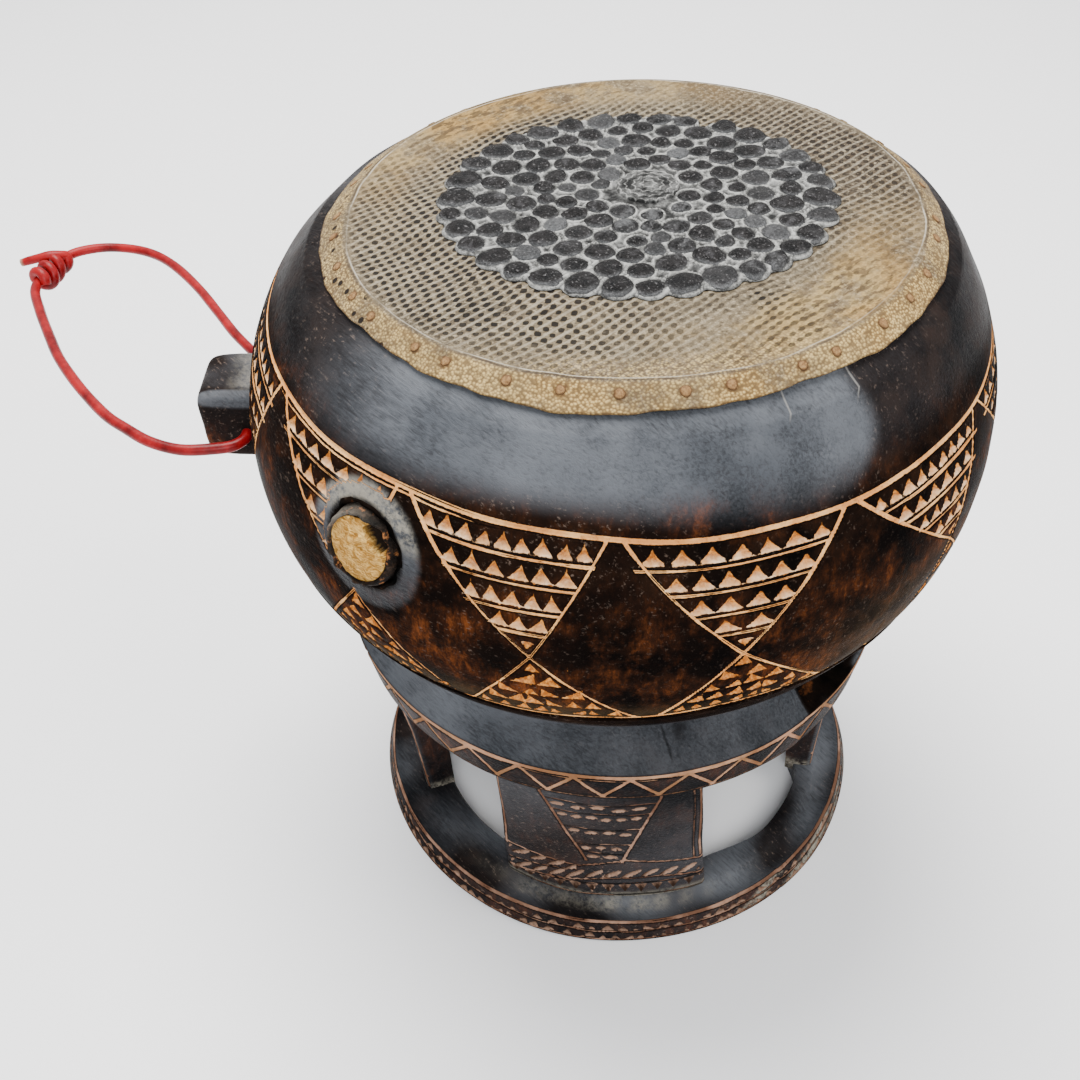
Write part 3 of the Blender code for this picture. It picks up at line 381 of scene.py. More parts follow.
def lizard_skin():
    """Dry scaled hide: a slanting net of fine pale ridges round dark pits, and cream beads towards its edge.

    Layers: net, streak, beads, cream, brown and holes say how strongly each shows, reach is the distance from
    the middle in mm, for the ridge's thin line, and peg is the ring round each peg.
    """
    f = Finish("lizard_skin", IOR=1.4, Specular_IOR_Level=0.09)
    warp = f.node("TexNoise", {"Vector": f.place, "Scale": 14.0, "Detail": 2.0}).outputs["Color"]
    warped = f.mix(0.016, f.place, warp, "ADD")
    split = f.node("SeparateXYZ", {0: f.scaled(1, 1, 1, turn=(0, 0, -46), at=warped)})
    x, y = split.outputs[0], split.outputs[1]
    rows = []
    for lean, pitch in ((-1.05, 3.75), (0.62, 4.3)):
        slanted = f.plus(x, f.times(y, lean))
        rows.append(f.math("COSINE", f.times(slanted, TAU / (pitch * MM * np.hypot(1, lean)))))
    broad, fine, blotch = f.noise(16, 4), f.noise(620, 3, 0.7), f.noise(42, 5, 0.65)
    loose = f.times(f.less(f.noise(190, 2), 0.5), 1.6)
    both = f.times(f.plus(rows[0], rows[1]), 0.5)
    pit = f.rise(f.plus(both, f.times(loose, 0.8)), 0.10, 0.50)
    furrow = f.rise(f.plus(rows[0], f.times(rows[1], 0.5), loose), 0.05, 0.95)
    net = f.times(f.layer("net"), f.rise(blotch, 0.32, 0.50, 0.6, 1.0))
    pits = f.most(f.times(pit, net), f.times(furrow, f.layer("streak"), f.rise(blotch, 0.36, 0.56, 0.2, 1.0)))
    bead = f.cells(820, at=f.scaled(1, 1, 1.3), randomness=0.8)
    domes = f.rise(bead, 0.12, 0.60, 1.0, 0.0)
    base = f.mix(f.rise(broad, 0.38, 0.62), (0.060, 0.048, 0.032), (0.115, 0.091, 0.058))
    base = f.mix(f.times(f.layer("brown"), 0.6), base, (0.038, 0.028, 0.020))
    base = f.mix(f.rise(fine, 0.50, 0.66, 0.0, 0.7), base, (0.27, 0.225, 0.155))
    base = f.mix(f.rise(fine, 0.46, 0.34, 0.0, 0.7), base, (0.030, 0.023, 0.016))
    ridges = f.times(f.rise(f.plus(rows[0], loose), -0.45, -0.85), f.layer("net"))
    base = f.mix(f.times(ridges, 0.55), base, (0.25, 0.22, 0.17))
    cream = f.mix(f.rise(broad, 0.4, 0.6), (0.21, 0.125, 0.040), (0.25, 0.175, 0.075))
    base = f.mix(f.times(f.layer("cream"), f.rise(blotch, 0.36, 0.54, 0.15, 1.0)), base, cream)
    crowns = f.times(f.layer("beads"), domes, f.rise(blotch, 0.35, 0.6, 0.3, 0.95))
    base = f.mix(crowns, base, (0.47, 0.335, 0.135))
    base = f.mix(f.times(f.layer("beads"), f.rise(bead, 0.42, 0.75), 0.75), base, (0.095, 0.060, 0.028))
    flecks = f.times(f.rise(f.noise(340, 3, 0.6, at=f.scaled(1, 0.4, 1, turn=(0, 0, -12))), 0.50, 0.58), 0.85)
    smooth_band = f.less(1.0, f.times(f.layer("beads"), 0.75))
    base = f.mix(f.times(flecks, smooth_band, f.most(f.layer("cream"), 0.25)), base, (0.042, 0.026, 0.014))
    base = f.mix(f.times(pits, 0.97), base, (0.005, 0.004, 0.0035))
    holes = f.times(f.layer("holes"), f.rise(f.cells(175, randomness=0.6), 0.30, 0.20))
    base = f.mix(holes, base, (0.012, 0.009, 0.007))
    wander = f.times(f.less(f.noise(24, 2), 0.5), 4.5)
    off = f.plus(f.layer("reach"), -RIDGE_R + 1.6, wander)
    broken = f.times(f.rise(blotch, 0.40, 0.58, 0.1, 0.8), f.rise(f.noise(9, 2), 0.42, 0.58, 0.25, 1.0))
    base = f.mix(f.times(f.rise(f.size(off), 0.42, 0.10), broken), base, (0.33, 0.30, 0.25))
    shadow = f.times(f.rise(f.size(f.plus(off, -1.0)), 0.7, 0.2), broken)
    base = f.mix(shadow, base, (0.035, 0.025, 0.018))
    base = f.mix(f.layer("peg"), base, (0.060, 0.028, 0.012))
    height = f.plus(f.times(pits, -0.7), f.times(f.layer("beads"), domes, 0.2), f.times(fine, 0.25))
    height = f.plus(height, f.times(ridges, 0.25))
    return f.done(base, f.rise(f.noise(60), 0.3, 0.7, 0.5, 0.75), height, 0.9, 0.0007)


def peg_wood():
    """End grain of small dowels, tan with a pale worn middle, hardly darker than the skin round them."""
    f = Finish("peg_wood", IOR=1.4, Specular_IOR_Level=0.15)
    grain = f.noise(900, 4, 0.7)
    tans = (0.3, (0.08, 0.038, 0.014)), (0.5, (0.19, 0.105, 0.042)), (0.75, (0.32, 0.20, 0.085))
    colour = f.ramp(grain, *tans)
    colour = f.mix(f.times(f.layer("rim"), 0.8), colour, (0.05, 0.022, 0.009))
    return f.done(colour, f.rise(grain, 0.3, 0.7, 0.5, 0.75), grain, 0.5, 0.0004)


def black_wax():
    """Black wax rolled into pellets: mottled on top, and grey with dust down to its foot."""
    f = Finish("black_wax", IOR=1.4, Specular_IOR_Level=0.16)
    lump, fine = f.noise(150, 5, 0.7), f.noise(900, 3, 0.7)
    blacks = (0.36, (0.0022, 0.0022, 0.0025)), (0.55, (0.008, 0.007, 0.007)), (0.70, (0.040, 0.039, 0.041))
    colour = f.ramp(lump, *blacks)
    colour = f.mix(f.rise(fine, 0.58, 0.70, 0.0, 0.75), colour, (0.16, 0.155, 0.155))
    speckled = f.times(f.rise(f.noise(24, 3), 0.5, 0.68), f.rise(lump, 0.42, 0.6), 0.7)
    dusty = f.times(f.most(f.layer("rim"), speckled), f.rise(fine, 0.3, 0.6, 0.5, 1.0))
    colour = f.mix(dusty, colour, (0.115, 0.117, 0.12))
    height = f.weighed((lump, 2.2), (fine, 0.5))
    return f.done(colour, f.rise(lump, 0.35, 0.7, 0.3, 0.6), height, 1.0, 0.0018)


def pale_mortar():
    """The ash-grey paste between the pellets, whiter on the lips that it makes round them."""
    f = Finish("pale_mortar", IOR=1.4, Specular_IOR_Level=0.2)
    lump, fine = f.noise(180, 5, 0.7), f.noise(1100, 3, 0.7)
    greys = (0.41, (0.007, 0.007, 0.007)), (0.52, (0.044, 0.044, 0.043)), (0.66, (0.150, 0.150, 0.145))
    crest = f.times(f.layer("crest"), f.rise(f.plus(lump, fine), 0.84, 1.1, 0.25, 1.0))
    colour = f.mix(crest, f.ramp(lump, *greys), (0.33, 0.33, 0.315))
    return f.done(colour, 0.8, f.plus(lump, f.times(fine, 0.4)), 0.8, 0.0012)


def collar_wax():
    """Charred wood and wax: black, with brown and orange flecks and grey dust where it is rubbed."""
    f = Finish("collar_wax", IOR=1.4, Specular_IOR_Level=0.1)
    lump, fine = f.noise(150, 5, 0.75), f.noise(800, 3, 0.7)
    blacks = (0.40, (0.0018, 0.0015, 0.0014)), (0.54, (0.010, 0.006, 0.004)), (0.70, (0.06, 0.035, 0.022))
    fleck = f.rise(f.noise(170, 4, 0.65), 0.55, 0.66, 0.0, 0.85)
    colour = f.mix(fleck, f.ramp(lump, *blacks), (0.34, 0.13, 0.04))
    colour = f.mix(f.times(f.layer("rim"), f.rise(lump, 0.3, 0.55, 0.4, 1.0)), colour, (0.13, 0.115, 0.095))
    height = f.weighed((lump, 1.4), (fine, 0.5))
    return f.done(colour, f.rise(lump, 0.3, 0.7, 0.45, 0.75), height, 1.0, 0.0022)


def silk_membrane():
    """A golden membrane of tangled fibres, darkened at its edge, and near-black in its slit as painted shade.
    """
    f = Finish("silk_membrane", IOR=1.35, Specular_IOR_Level=0.2)
    tangle = f.noise(170, 6, 0.75, distortion=1.2)
    threads = f.noise(300, 4, 0.7, at=f.scaled(1, 1, 5, turn=(10, 20, 0)), distortion=0.8)
    both = f.weighed((tangle, 0.5), (threads, 0.5))
    golds = (0.34, (0.085, 0.030, 0.004)), (0.47, (0.40, 0.185, 0.030)), (0.60, (0.86, 0.55, 0.165))
    colour = f.mix(f.layer("rim"), f.ramp(both, *golds), (0.012, 0.007, 0.004))
    return f.done(colour, 0.75, both, 1.0, 0.0026)


def red_cord():
    """Glossy red cord with a dark seam along it, paler where it is scuffed."""
    f = Finish("red_cord", IOR=1.45, Specular_IOR_Level=0.2)
    lump, fine = f.noise(70, 4, 0.6), f.noise(700, 3, 0.7)
    colour = f.ramp(lump, (0.34, (0.085, 0.001, 0.002)), (0.6, (0.25, 0.0045, 0.0065)))
    colour = f.mix(f.rise(fine, 0.52, 0.8, 0.0, 0.2), colour, (0.42, 0.05, 0.045))
    colour = f.mix(f.layer("seam"), colour, (0.035, 0.002, 0.002))
    colour = f.mix(f.layer("bare"), colour, (0.45, 0.34, 0.22))
    return f.done(colour, f.rise(lump, 0.3, 0.7, 0.3, 0.45), f.plus(f.times(fine, 0.4), lump), 0.4, 0.0006)


# The camera, in metres

CAMERA_AT = (0.36907, -0.35048, 0.6616)


def set_camera():
    """The photograph's view, given by its place, its turn from the drum's front, its dip and its tilt."""
    yaw, dip, tilt = -0.0794813, 0.7769417, -0.0249652
    up = np.array((0, 0, 1.0))
    ahead = (np.sin(yaw) * ACROSS + np.cos(yaw) * AWAY) * np.cos(dip) - np.sin(dip) * up
    level = np.cos(yaw) * ACROSS - np.sin(yaw) * AWAY
    above = np.cross(level, ahead)
    right = np.cos(tilt) * level + np.sin(tilt) * above
    above = np.cross(right, ahead)
    turned_so = Matrix([(*row, 0) for row in np.stack((right, above, -ahead), -1)] + [(0, 0, 0, 1)])
    camera = bpy.data.cameras.new("camera")
    camera.sensor_width, camera.lens = 36, 47.763
    camera.clip_start, camera.clip_end = 0.05, 20
    eye = bpy.data.objects.new("camera", camera)
    eye.matrix_world = Matrix.Translation(CAMERA_AT) @ turned_so
    bpy.context.scene.collection.objects.link(eye)
    bpy.context.scene.camera = eye


def carried_tube(points, around, thick, twist, groove):
    """A round tube carried along a path: rings square to it, each turned as little as possible from the last.

    thick is its share of the cord's radius along the path, and groove says how deep its seam is at each
    angle. Its ends close to a point. Returns the rings, and how strongly the seam shows on them.
    """
    points = np.asarray(points, float)
    tangent = np.gradient(points, axis=0)
    tangent /= np.linalg.norm(tangent, axis=1)[:, None]
    side = np.empty_like(points)
    guess = np.cross(tangent[0], (0, 0, 1.0))
    for i, along in enumerate(tangent):
        guess = guess - along * (guess @ along)
        guess /= np.linalg.norm(guess)
        side[i] = guess
    other = np.cross(tangent, side)
    angle = np.linspace(0, TAU, around, endpoint=False)
    turned_by = angle[None] + twist * np.arange(len(points))[:, None]
    size = np.full(turned_by.shape, CORD_D / 2) * np.asarray(thick)[:, None] * (1 - groove(angle)[None])
    rings = points[:, None] + size[..., None] * (
        np.cos(turned_by)[..., None] * side[:, None] + np.sin(turned_by)[..., None] * other[:, None]
    )
    ends = [np.repeat(p[None, None], around, axis=1) for p in (points[0], points[-1])]
    rings = np.concatenate((ends[0], rings, ends[1]))
    return rings, np.broadcast_to(seam_groove(angle)[None] / SEAM_DEEP, rings.shape[:2]) ** 2


def smooth_route(route, step):
    """Evenly spaced points on the smooth curve through the route's points (Catmull-Rom, by arc length)."""
    route = np.asarray(route, float)
    route = np.concatenate((2 * route[:1] - route[1:2], route, 2 * route[-1:] - route[-2:-1]))
    a, b, c, d = (route[i : len(route) - 3 + i, None] for i in range(4))
    t = np.linspace(0, 1, 24, endpoint=False)[None, :, None]
    fine = 0.5 * (2 * b + (c - a) * t + (2 * a - 5 * b + 4 * c - d) * t**2 + (3 * b - a - 3 * c + d) * t**3)
    fine = np.concatenate((fine.reshape(-1, 3), route[-2:-1]))
    length = np.concatenate(((0,), np.cumsum(np.linalg.norm(np.diff(fine, axis=0), axis=1))))
    wanted = np.linspace(0, length[-1], int(round(length[-1] / step)) + 1)
    return np.stack([np.interp(wanted, length, fine[:, k]) for k in range(3)], -1), length[-1]


# The cord: out of the lug's front, round the loop through its knot, and back in behind

CORD_D, SEAM_DEEP = 5.5, 0.26
CORD_ROUTE = (
    (-113.8, -121.8, 243), (-107.6, -127.5, 243), (-101.8, -133, 243), (-97.8, -137.5, 242.9),
    (-97.3, -144, 242.7), (-101.8, -151.7, 242.4), (-111.5, -163, 242.1), (-126, -170.5, 241.8),
    (-142.5, -174, 241.5), (-158, -176, 241.1), (-184.5, -175, 240.3), (-212.5, -171.5, 239.3),
    (-233.5, -166.5, 238.4), (-260.5, -159, 237.2), (-282, -151, 236.1), (-291.5, -137.5, 236),
    (-298.5, -122.5, 235.9), (-294, -108, 235.9), (-282.5, -96.5, 236.2), (-267, -89.5, 237),
    (-247, -87.5, 238.1), (-220, -89.5, 239.4), (-192, -94, 240.6), (-171.5, -97.5, 241.5), (-155, -99, 242),
    (-142, -100, 242.5), (-132.3, -104.3, 242.8), (-125.6, -110.7, 243), (-119.8, -116.3, 243),
    (-114.2, -121.5, 243),
)
KNOT_FROM, KNOT_TO = np.array((-284.4, -149.8, 236)), np.array((-299.3, -124.9, 235.9))


def seam_groove(angle):
    """A narrow groove along the cord's upper side."""
    away = np.abs(wrapped(angle - np.radians(100)))
    return SEAM_DEEP * np.exp(-((away / 0.24) ** 2))


def make_cord(finish):
    """The cord, one tube with a seam from the bore out and round into the bore again, and its knot."""
    path, length = smooth_route(CORD_ROUTE, 2.2)
    share = np.linspace(0, 1, len(path))
    thick = 0.962 - 0.08 * between(share, 0.52, 0.60) + 0.012 * np.sin(share * 90)
    rings, seam = carried_tube(path, 20, thick, twist=0.004, groove=seam_groove)
    front = 1 - between(np.concatenate(((0,), share, (1,))), 0.50, 0.56)[:, None]
    layers = {"seam": seam * (0.25 + 0.75 * front)}
    cord = make_piece("cord", rings, finish, layers=layers, hew=False)
    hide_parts("cord_front", "cord_back")
    knot = make_knot(finish)


def make_knot(finish):
    """The knot: the cord's end wound three times round its own standing part, crossed over and tucked out."""
    axis = KNOT_TO - KNOT_FROM
    long = np.linalg.norm(axis)
    axis = axis / long
    side = np.cross(axis, (0, 0, 1.0))
    side /= np.linalg.norm(side)
    up = np.cross(side, axis)
    turn = np.linspace(0, 3.1 * TAU, 120)
    share = turn / turn[-1]
    reach = 4.7 + 0.5 * np.sin(1.3 * turn)
    coil = KNOT_FROM + axis * (2.5 + (long - 6.5) * share + 0.7 * np.sin(turn))[:, None]
    coil = coil + reach[:, None] * (np.cos(turn)[:, None] * side + np.sin(turn)[:, None] * up)
    out = np.array((-0.72, -0.66, 0.1))
    out /= np.linalg.norm(out)
    root = KNOT_FROM + axis * 0.6 * long
    bend, tip = root + up * 7.5 + axis * 2, root + out * 17.5
    t = np.linspace(0, 1, 30)[:, None]
    tail = coil[-1] * (1 - t) ** 2 + 2 * bend * t * (1 - t) + tip * t**2
    path, _ = smooth_route(np.concatenate((coil, tail[1:]))[::4], 1.2)
    along = np.linspace(0, 1, len(path))
    thick = (1 - 0.25 * between(along, 0.86, 1.0)) * (1 + 0.05 * np.sin(along * 60))
    rings, seam = carried_tube(path, 16, thick, twist=0.02, groove=lambda angle: 0.6 * seam_groove(angle))
    bare = np.broadcast_to(between(np.concatenate(((0,), along, (1,))), 0.985, 1.0)[:, None], rings.shape[:2])
    layers = {"seam": seam * 0.7, "bare": bare}
    knot = make_piece("cord_knot_wraps", rings, finish, layers=layers, hew=False)
    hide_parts("cord_knot")
    return knot


# Profiles of the block


def bowl_radius(z):
    """The bowl's outer radius at a height: an ellipse made a little fuller than a true one."""
    share = np.abs(z - WIDEST_Z) / np.where(z > WIDEST_Z, BOWL_UP, BOWL_DOWN)
    return BOWL_R * np.maximum(0, 1 - share**BOWL_FULLNESS) ** (1 / BOWL_FULLNESS)


def neck_radius(z):
    """The dished neck: a parabola above its waist, and another out to the ring's lip."""
    above = NECK_R + (bowl_radius(BOWL_LOW_Z) - NECK_R) * ((z - NECK_Z) / (BOWL_LOW_Z - NECK_Z)) ** 2
    below = NECK_R + (LIP_R - NECK_R) * ((NECK_Z - z) / (NECK_Z - LIP_Z)) ** 2
    return np.where(z > BOWL_LOW_Z, bowl_radius(z), np.where(z > NECK_Z, above, below))


def leg_radius(z):
    """The legs' outer radius at a height: two straight slopes that meet at their middle."""
    low = LEG_FOOT_R + (LEG_MID_R - LEG_FOOT_R) * (z - LEG_FOOT_Z) / (LEG_MID_Z - LEG_FOOT_Z)
    high = LEG_MID_R + (LEG_TOP_R - LEG_MID_R) * (z - LEG_MID_Z) / (LEG_TOP_Z - LEG_MID_Z)
    return np.where(z < LEG_MID_Z, low, high)


def polar(r, angle, z):
    """Points given by their distance from Z, their angle round it and their height."""
    return np.stack(np.broadcast_arrays(r * np.cos(angle), r * np.sin(angle), z), -1)


def turned(profile, angle):
    """Rows of points, one for each radius and height of a profile, turned about Z."""
    radius, high = np.array(profile, float).T[:, :, None]
    return polar(radius, angle, high)


def padded(layers, before, after):
    """Layers carried on over the rows that a piece has before and after theirs."""
    return {name: np.pad(values, ((before, after), (0, 0)), mode="edge") for name, values in layers.items()}


def border_top(round_):
    """The upper border's height at each angle, drawn aslant and a little unsteady."""
    aslant = BORDER_Z - BORDER_DIP * np.cos(round_ - FRONT)
    return aslant + 0.5 * np.sin(5 * round_ + 1) + 0.3 * np.sin(13 * round_)


def border_low(round_):
    """The lower border's height at each angle, which the carver let rise and fall."""
    return BORDER_LOW_Z + 4.4 * np.sin(4 * (round_ - np.radians(-41))) + 0.5 * np.sin(11 * round_)


def wrapped(angle):
    """The angle brought to between -pi and pi."""
    return (angle + np.pi) % TAU - np.pi


def field_corners(k):
    """One pair of fields: the hanging one's corners, the shared apex and the standing one's base."""
    left = FIRST_CORNER + FIELD * k + CORNER_WANDER[k]
    right = FIRST_CORNER + FIELD * (k + 1) + CORNER_WANDER[(k + 1) % FIELDS]
    apex = (left + right) / 2 + APEX_LEAN[k]
    return np.radians((left + 1, right - 1, apex, apex - BASE_LEFT, apex + BASE_RIGHT))


def field_distance(angle, z, r, edges, middle, tip_z, end_z):
    """How far inside a three-cornered field a place is, in mm: below 0 outside it.

    The field runs from two corners at end_z to one at tip_z, with edges giving the corners' angles from the
    tip's. The distance to a side is the arc to it times the cosine of its slant.
    """
    here = wrapped(angle - middle)
    share = (z - tip_z) / (end_z - tip_z)
    inside = np.abs(end_z - tip_z) - np.abs(z - tip_z)
    inside = np.where(share < 0, -np.abs(z - tip_z), inside)
    for sign, corner in zip((-1, 1), edges, strict=True):
        slant = corner * r / np.abs(end_z - tip_z)
        inside = np.minimum(inside, sign * (corner * share - here) * r / np.hypot(1, slant))
    return inside


def triangle_chip(across, up, half_wide, high):
    """How far inside a pointed notch a place is, in mm, and how near its base, from -1.6 at its point to 1.6.

    The notch is a triangle of the given half width and height with hollow flanks, point up. across and up
    are from its base's middle. The distance inside is the least of those to the base and to the two flanks.
    """
    slope = np.hypot(half_wide, high)
    reach = half_wide * np.clip(1 - up / high, 0, 2) ** 1.55
    return np.minimum((reach - np.abs(across)) * high / slope, up), 3.2 * (0.5 - up / high)


# How many notches each row has, from the border to the apex, and where the hanging fields' rows part
HANGING_ROWS = ((7, 6, 4, 2, 1), (9, 6, 5, 3, 1))
ROW_EDGES = (0.0, 0.195, 0.385, 0.585, 0.775, 1.0)
STANDING_ROWS, STANDING_STEP = (8, 6, 4, 2, 1), 0.19


def bowl_carving(angle, z):
    """The layers that draw the bowl's carving between its two borders, at points given by angle and height.

    t and s are the shares of the way from the upper border down to the apexes, and from the lower border up.
    """
    top, low, r = border_top(angle), border_low(angle), bowl_radius(z)
    hang, stand, inside, facet = (np.full(z.shape, -9.0) for _ in range(4))
    t, s = (top - z) / (top - APEX_Z), (z - low) / (APEX_Z - low)
    rows = np.where(t < 0, t / ROW_EDGES[1], np.interp(t, ROW_EDGES, np.arange(6.0)))
    for k in range(FIELDS):
        left, right, apex, base_left, base_right = field_corners(k)
        ends = (left - apex, right - apex)
        hang = np.maximum(hang, field_distance(angle, z, r, ends, apex, APEX_Z, top))
        ends = (base_left - apex, base_right - apex)
        stand = np.maximum(stand, field_distance(angle, z, r, ends, apex, APEX_Z, low))
        here = wrapped(angle - apex)
        draw = np.random.default_rng(40 + k)
        for row, count in enumerate(HANGING_ROWS[k % 2]):
            high_t, low_t = ROW_EDGES[row], ROW_EDGES[row + 1]
            middle = (high_t + low_t) / 2
            start, end = (left - apex) * (1 - middle) * r + 1.6, (right - apex) * (1 - middle) * r - 1.6
            tall = (low_t - high_t) * (top - APEX_Z)
            up = (low_t - t) * (top - APEX_Z) - 1.7
            lean, size = draw.normal(0, 0.10, count), draw.uniform(0.88, 1.06, count)
            number, across, cell = pick_notch(here * r, start, end, count, up, lean)
            high, wide = (tall - 2.3 - 1.2 * (row == 0)) * size[number], cell * 0.57 * size[number]
            if count == 1:
                up, high, wide = tall - 5.4 - up, 5.2, 3.8
            got, lower_face = triangle_chip(across, up, wide, high)
            better = (got > inside) & (t < 1) & (t > high_t - 0.02) & (t < low_t + 0.02)
            inside, facet = np.where(better, got, inside), np.where(better, lower_face, facet)
        for row, count in enumerate(STANDING_ROWS):
            share_low, share_high = row * STANDING_STEP + 0.03, (row + 1) * STANDING_STEP + 0.02
            middle = (share_low + share_high) / 2
            start = (base_left - apex) * (1 - middle) * r + 0.8
            end = (base_right - apex) * (1 - middle) * r - 0.8
            tall = (share_high - share_low) * (APEX_Z - low) - 0.5
            up = (s - share_low) * (APEX_Z - low) - 0.4
            lean, size = draw.normal(0, 0.35, count), draw.uniform(0.92, 1.25, count)
            number, across, cell = pick_notch(here * r, start, end, count, up, lean)
            got, lower_face = triangle_chip(across, up, cell * 0.48 * size[number], tall * size[number])
            better = (got > inside) & (s > 0) & (s < 1)
            inside, facet = np.where(better, got, inside), np.where(better, lower_face - 1.3, facet)
    limits = {
        "rows": (rows, -1.5, 6), "hang": (hang, -5, 5), "stand": (stand, -5, 5), "base": (z - low, -5, 9),
        "chip": (inside, UNCUT, 4), "facet": (facet, UNCUT, 4),
    }
    return {name: np.clip(*values) for name, values in limits.items()}


def pick_notch(place, start, end, count, up, lean):
    """Which notch of a row a place belongs to, how far across from its middle it is, and a notch's room."""
    cell = (end - start) / count
    share = (place - start) / cell
    number = np.clip(np.floor(share), 0, count - 1).astype(int)
    return number, (share - number - 0.5) * cell - lean[number] * up, cell


def cut_depth(layers):
    """How deep the lines and notches go at each point, in mm: rounded grooves and three-sided pits."""
    down = layers["rows"] * ROW_HIGH
    off = (layers["rows"] - np.round(layers["rows"])) * ROW_HIGH
    within = (layers["rows"] > 0.5) & (layers["rows"] < 4.5) & (layers["hang"] > -0.5)
    between_rows = np.where(within, ROW_HALF - np.abs(off), -1)
    side = LINE_HALF - np.abs(np.maximum(layers["hang"], layers["stand"]))
    groove = np.maximum.reduce((1.0 - np.abs(down), side, between_rows, 0.8 - np.abs(layers["base"])))
    return 0.75 * np.clip(groove * 1.3, 0, 1) + np.minimum(np.clip(layers["chip"], 0, 9) * 1.2, 2.4)


def hole_frame():
    """The side hole's middle and its three directions: round the bowl, up it and out of it."""
    lean = (bowl_radius(HOLE_Z + 1.0) - bowl_radius(HOLE_Z - 1.0)) / 2
    middle = polar(bowl_radius(np.float64(HOLE_Z)), HOLE_AT, HOLE_Z)
    round_it = np.array((-np.sin(HOLE_AT), np.cos(HOLE_AT), 0))
    up_it = np.array((lean * np.cos(HOLE_AT), lean * np.sin(HOLE_AT), 1))
    up_it /= np.linalg.norm(up_it)
    return middle, round_it, up_it, np.cross(round_it, up_it)


def ragged_hole(turn):
    """The burnt hole's radius at each angle round it."""
    return HOLE_R - 0.9 + 0.35 * np.sin(3 * turn + 1) + 0.3 * np.sin(7 * turn) + 0.25 * np.sin(13 * turn + 2)


def camera_side(angle):
    """The angle round the drum in degrees as seen in the photograph: 0 is nearest, more is to the right."""
    return np.degrees(wrapped(angle + np.radians(44)))


def bowl_inside():
    """The profile of the bowl's hollow, from its floor up to its mouth, and of the rim under the skin."""
    profile = []
    for z in (CAVITY_FLOOR_Z, 188, 196, 215, 260, 310, CAVITY_MOUTH_Z):
        reach = CAVITY_UP if z > CAVITY_WIDEST_Z else CAVITY_WIDEST_Z - CAVITY_FLOOR_Z
        profile.append((CAVITY_R * np.sqrt(max(0, 1 - ((z - CAVITY_WIDEST_Z) / reach) ** 2)), z))
    seat_z = SKIN_TOP_Z - SKIN_THICK - GAP
    profile += [(profile[-1][0], seat_z), (RIDGE_R - 3.5, seat_z), (RIDGE_R - 0.8, seat_z - 0.8)]
    under_edge = SKIN_EDGE_R - 1.5 * FOLD_OUT + 2.2 * FOLD_UP, SKIN_EDGE_Z - 1.5 * FOLD_UP - 2.2 * FOLD_OUT
    return [*profile, under_edge]


SHOULDER_COLUMNS, SHOULDER_TOP_Z, BELLY_COLUMNS = 600, 338.5, 1080


def make_bowl(finish, field_finish):
    """The bowl: its rim, hollow and smooth shoulder in one piece, and its carved belly in another.

    Rows follow the two borders, so that both run true along the grid. Each point moves out or in along the
    bowl's normal by the sum of the cuts and a slight unevenness. Both pieces close on a ring inside the wall.
    """
    angle = np.linspace(0, TAU, SHOULDER_COLUMNS, endpoint=False)
    top = border_top(angle)
    z = SHOULDER_TOP_Z + (top + 1.0 - SHOULDER_TOP_Z) * np.linspace(0, 1, 30)[:, None] ** 0.9
    z = np.concatenate((z, top + np.array((0.5, 0.0, -0.6, -3.0))[:, None]))
    place, layers = bowl_surface(np.broadcast_to(angle, z.shape), z, tucked=4)
    inside = bowl_inside()
    grid = np.concatenate((turned(inside, angle), place, turned(WALL_MIDDLE, angle)))
    layers = {**padded(layers, len(inside), 1), "line": UNCUT, "chip": UNCUT}
    shoulder = make_piece("bowl_shoulder", grid, finish, layers=layers)
    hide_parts("drum_body")
    angle = np.linspace(0, TAU, BELLY_COLUMNS, endpoint=False)
    top, low = border_top(angle), border_low(angle)
    border = np.array((1.4, 0.7, 0, -0.7, -1.4, -2.1))[:, None]
    field = (top - 2.8) + (low - top + 4.8) * np.linspace(0, 1, 78)[1:-1, None]
    z = np.concatenate((top + border, field, low + border[:4]))
    place, layers = bowl_surface(np.broadcast_to(angle, z.shape), z)
    grid = np.concatenate((turned(WALL_MIDDLE, angle), place, turned(((135, 205), (0, 205)), angle)))
    layers = {**padded(layers, 1, 2), "line": UNCUT}
    make_piece("bowl_belly", grid, field_finish, layers=layers)


# How far right of the photograph's middle the shoulder's two drips are centred, in mm
DRIPS_AT = 70.5


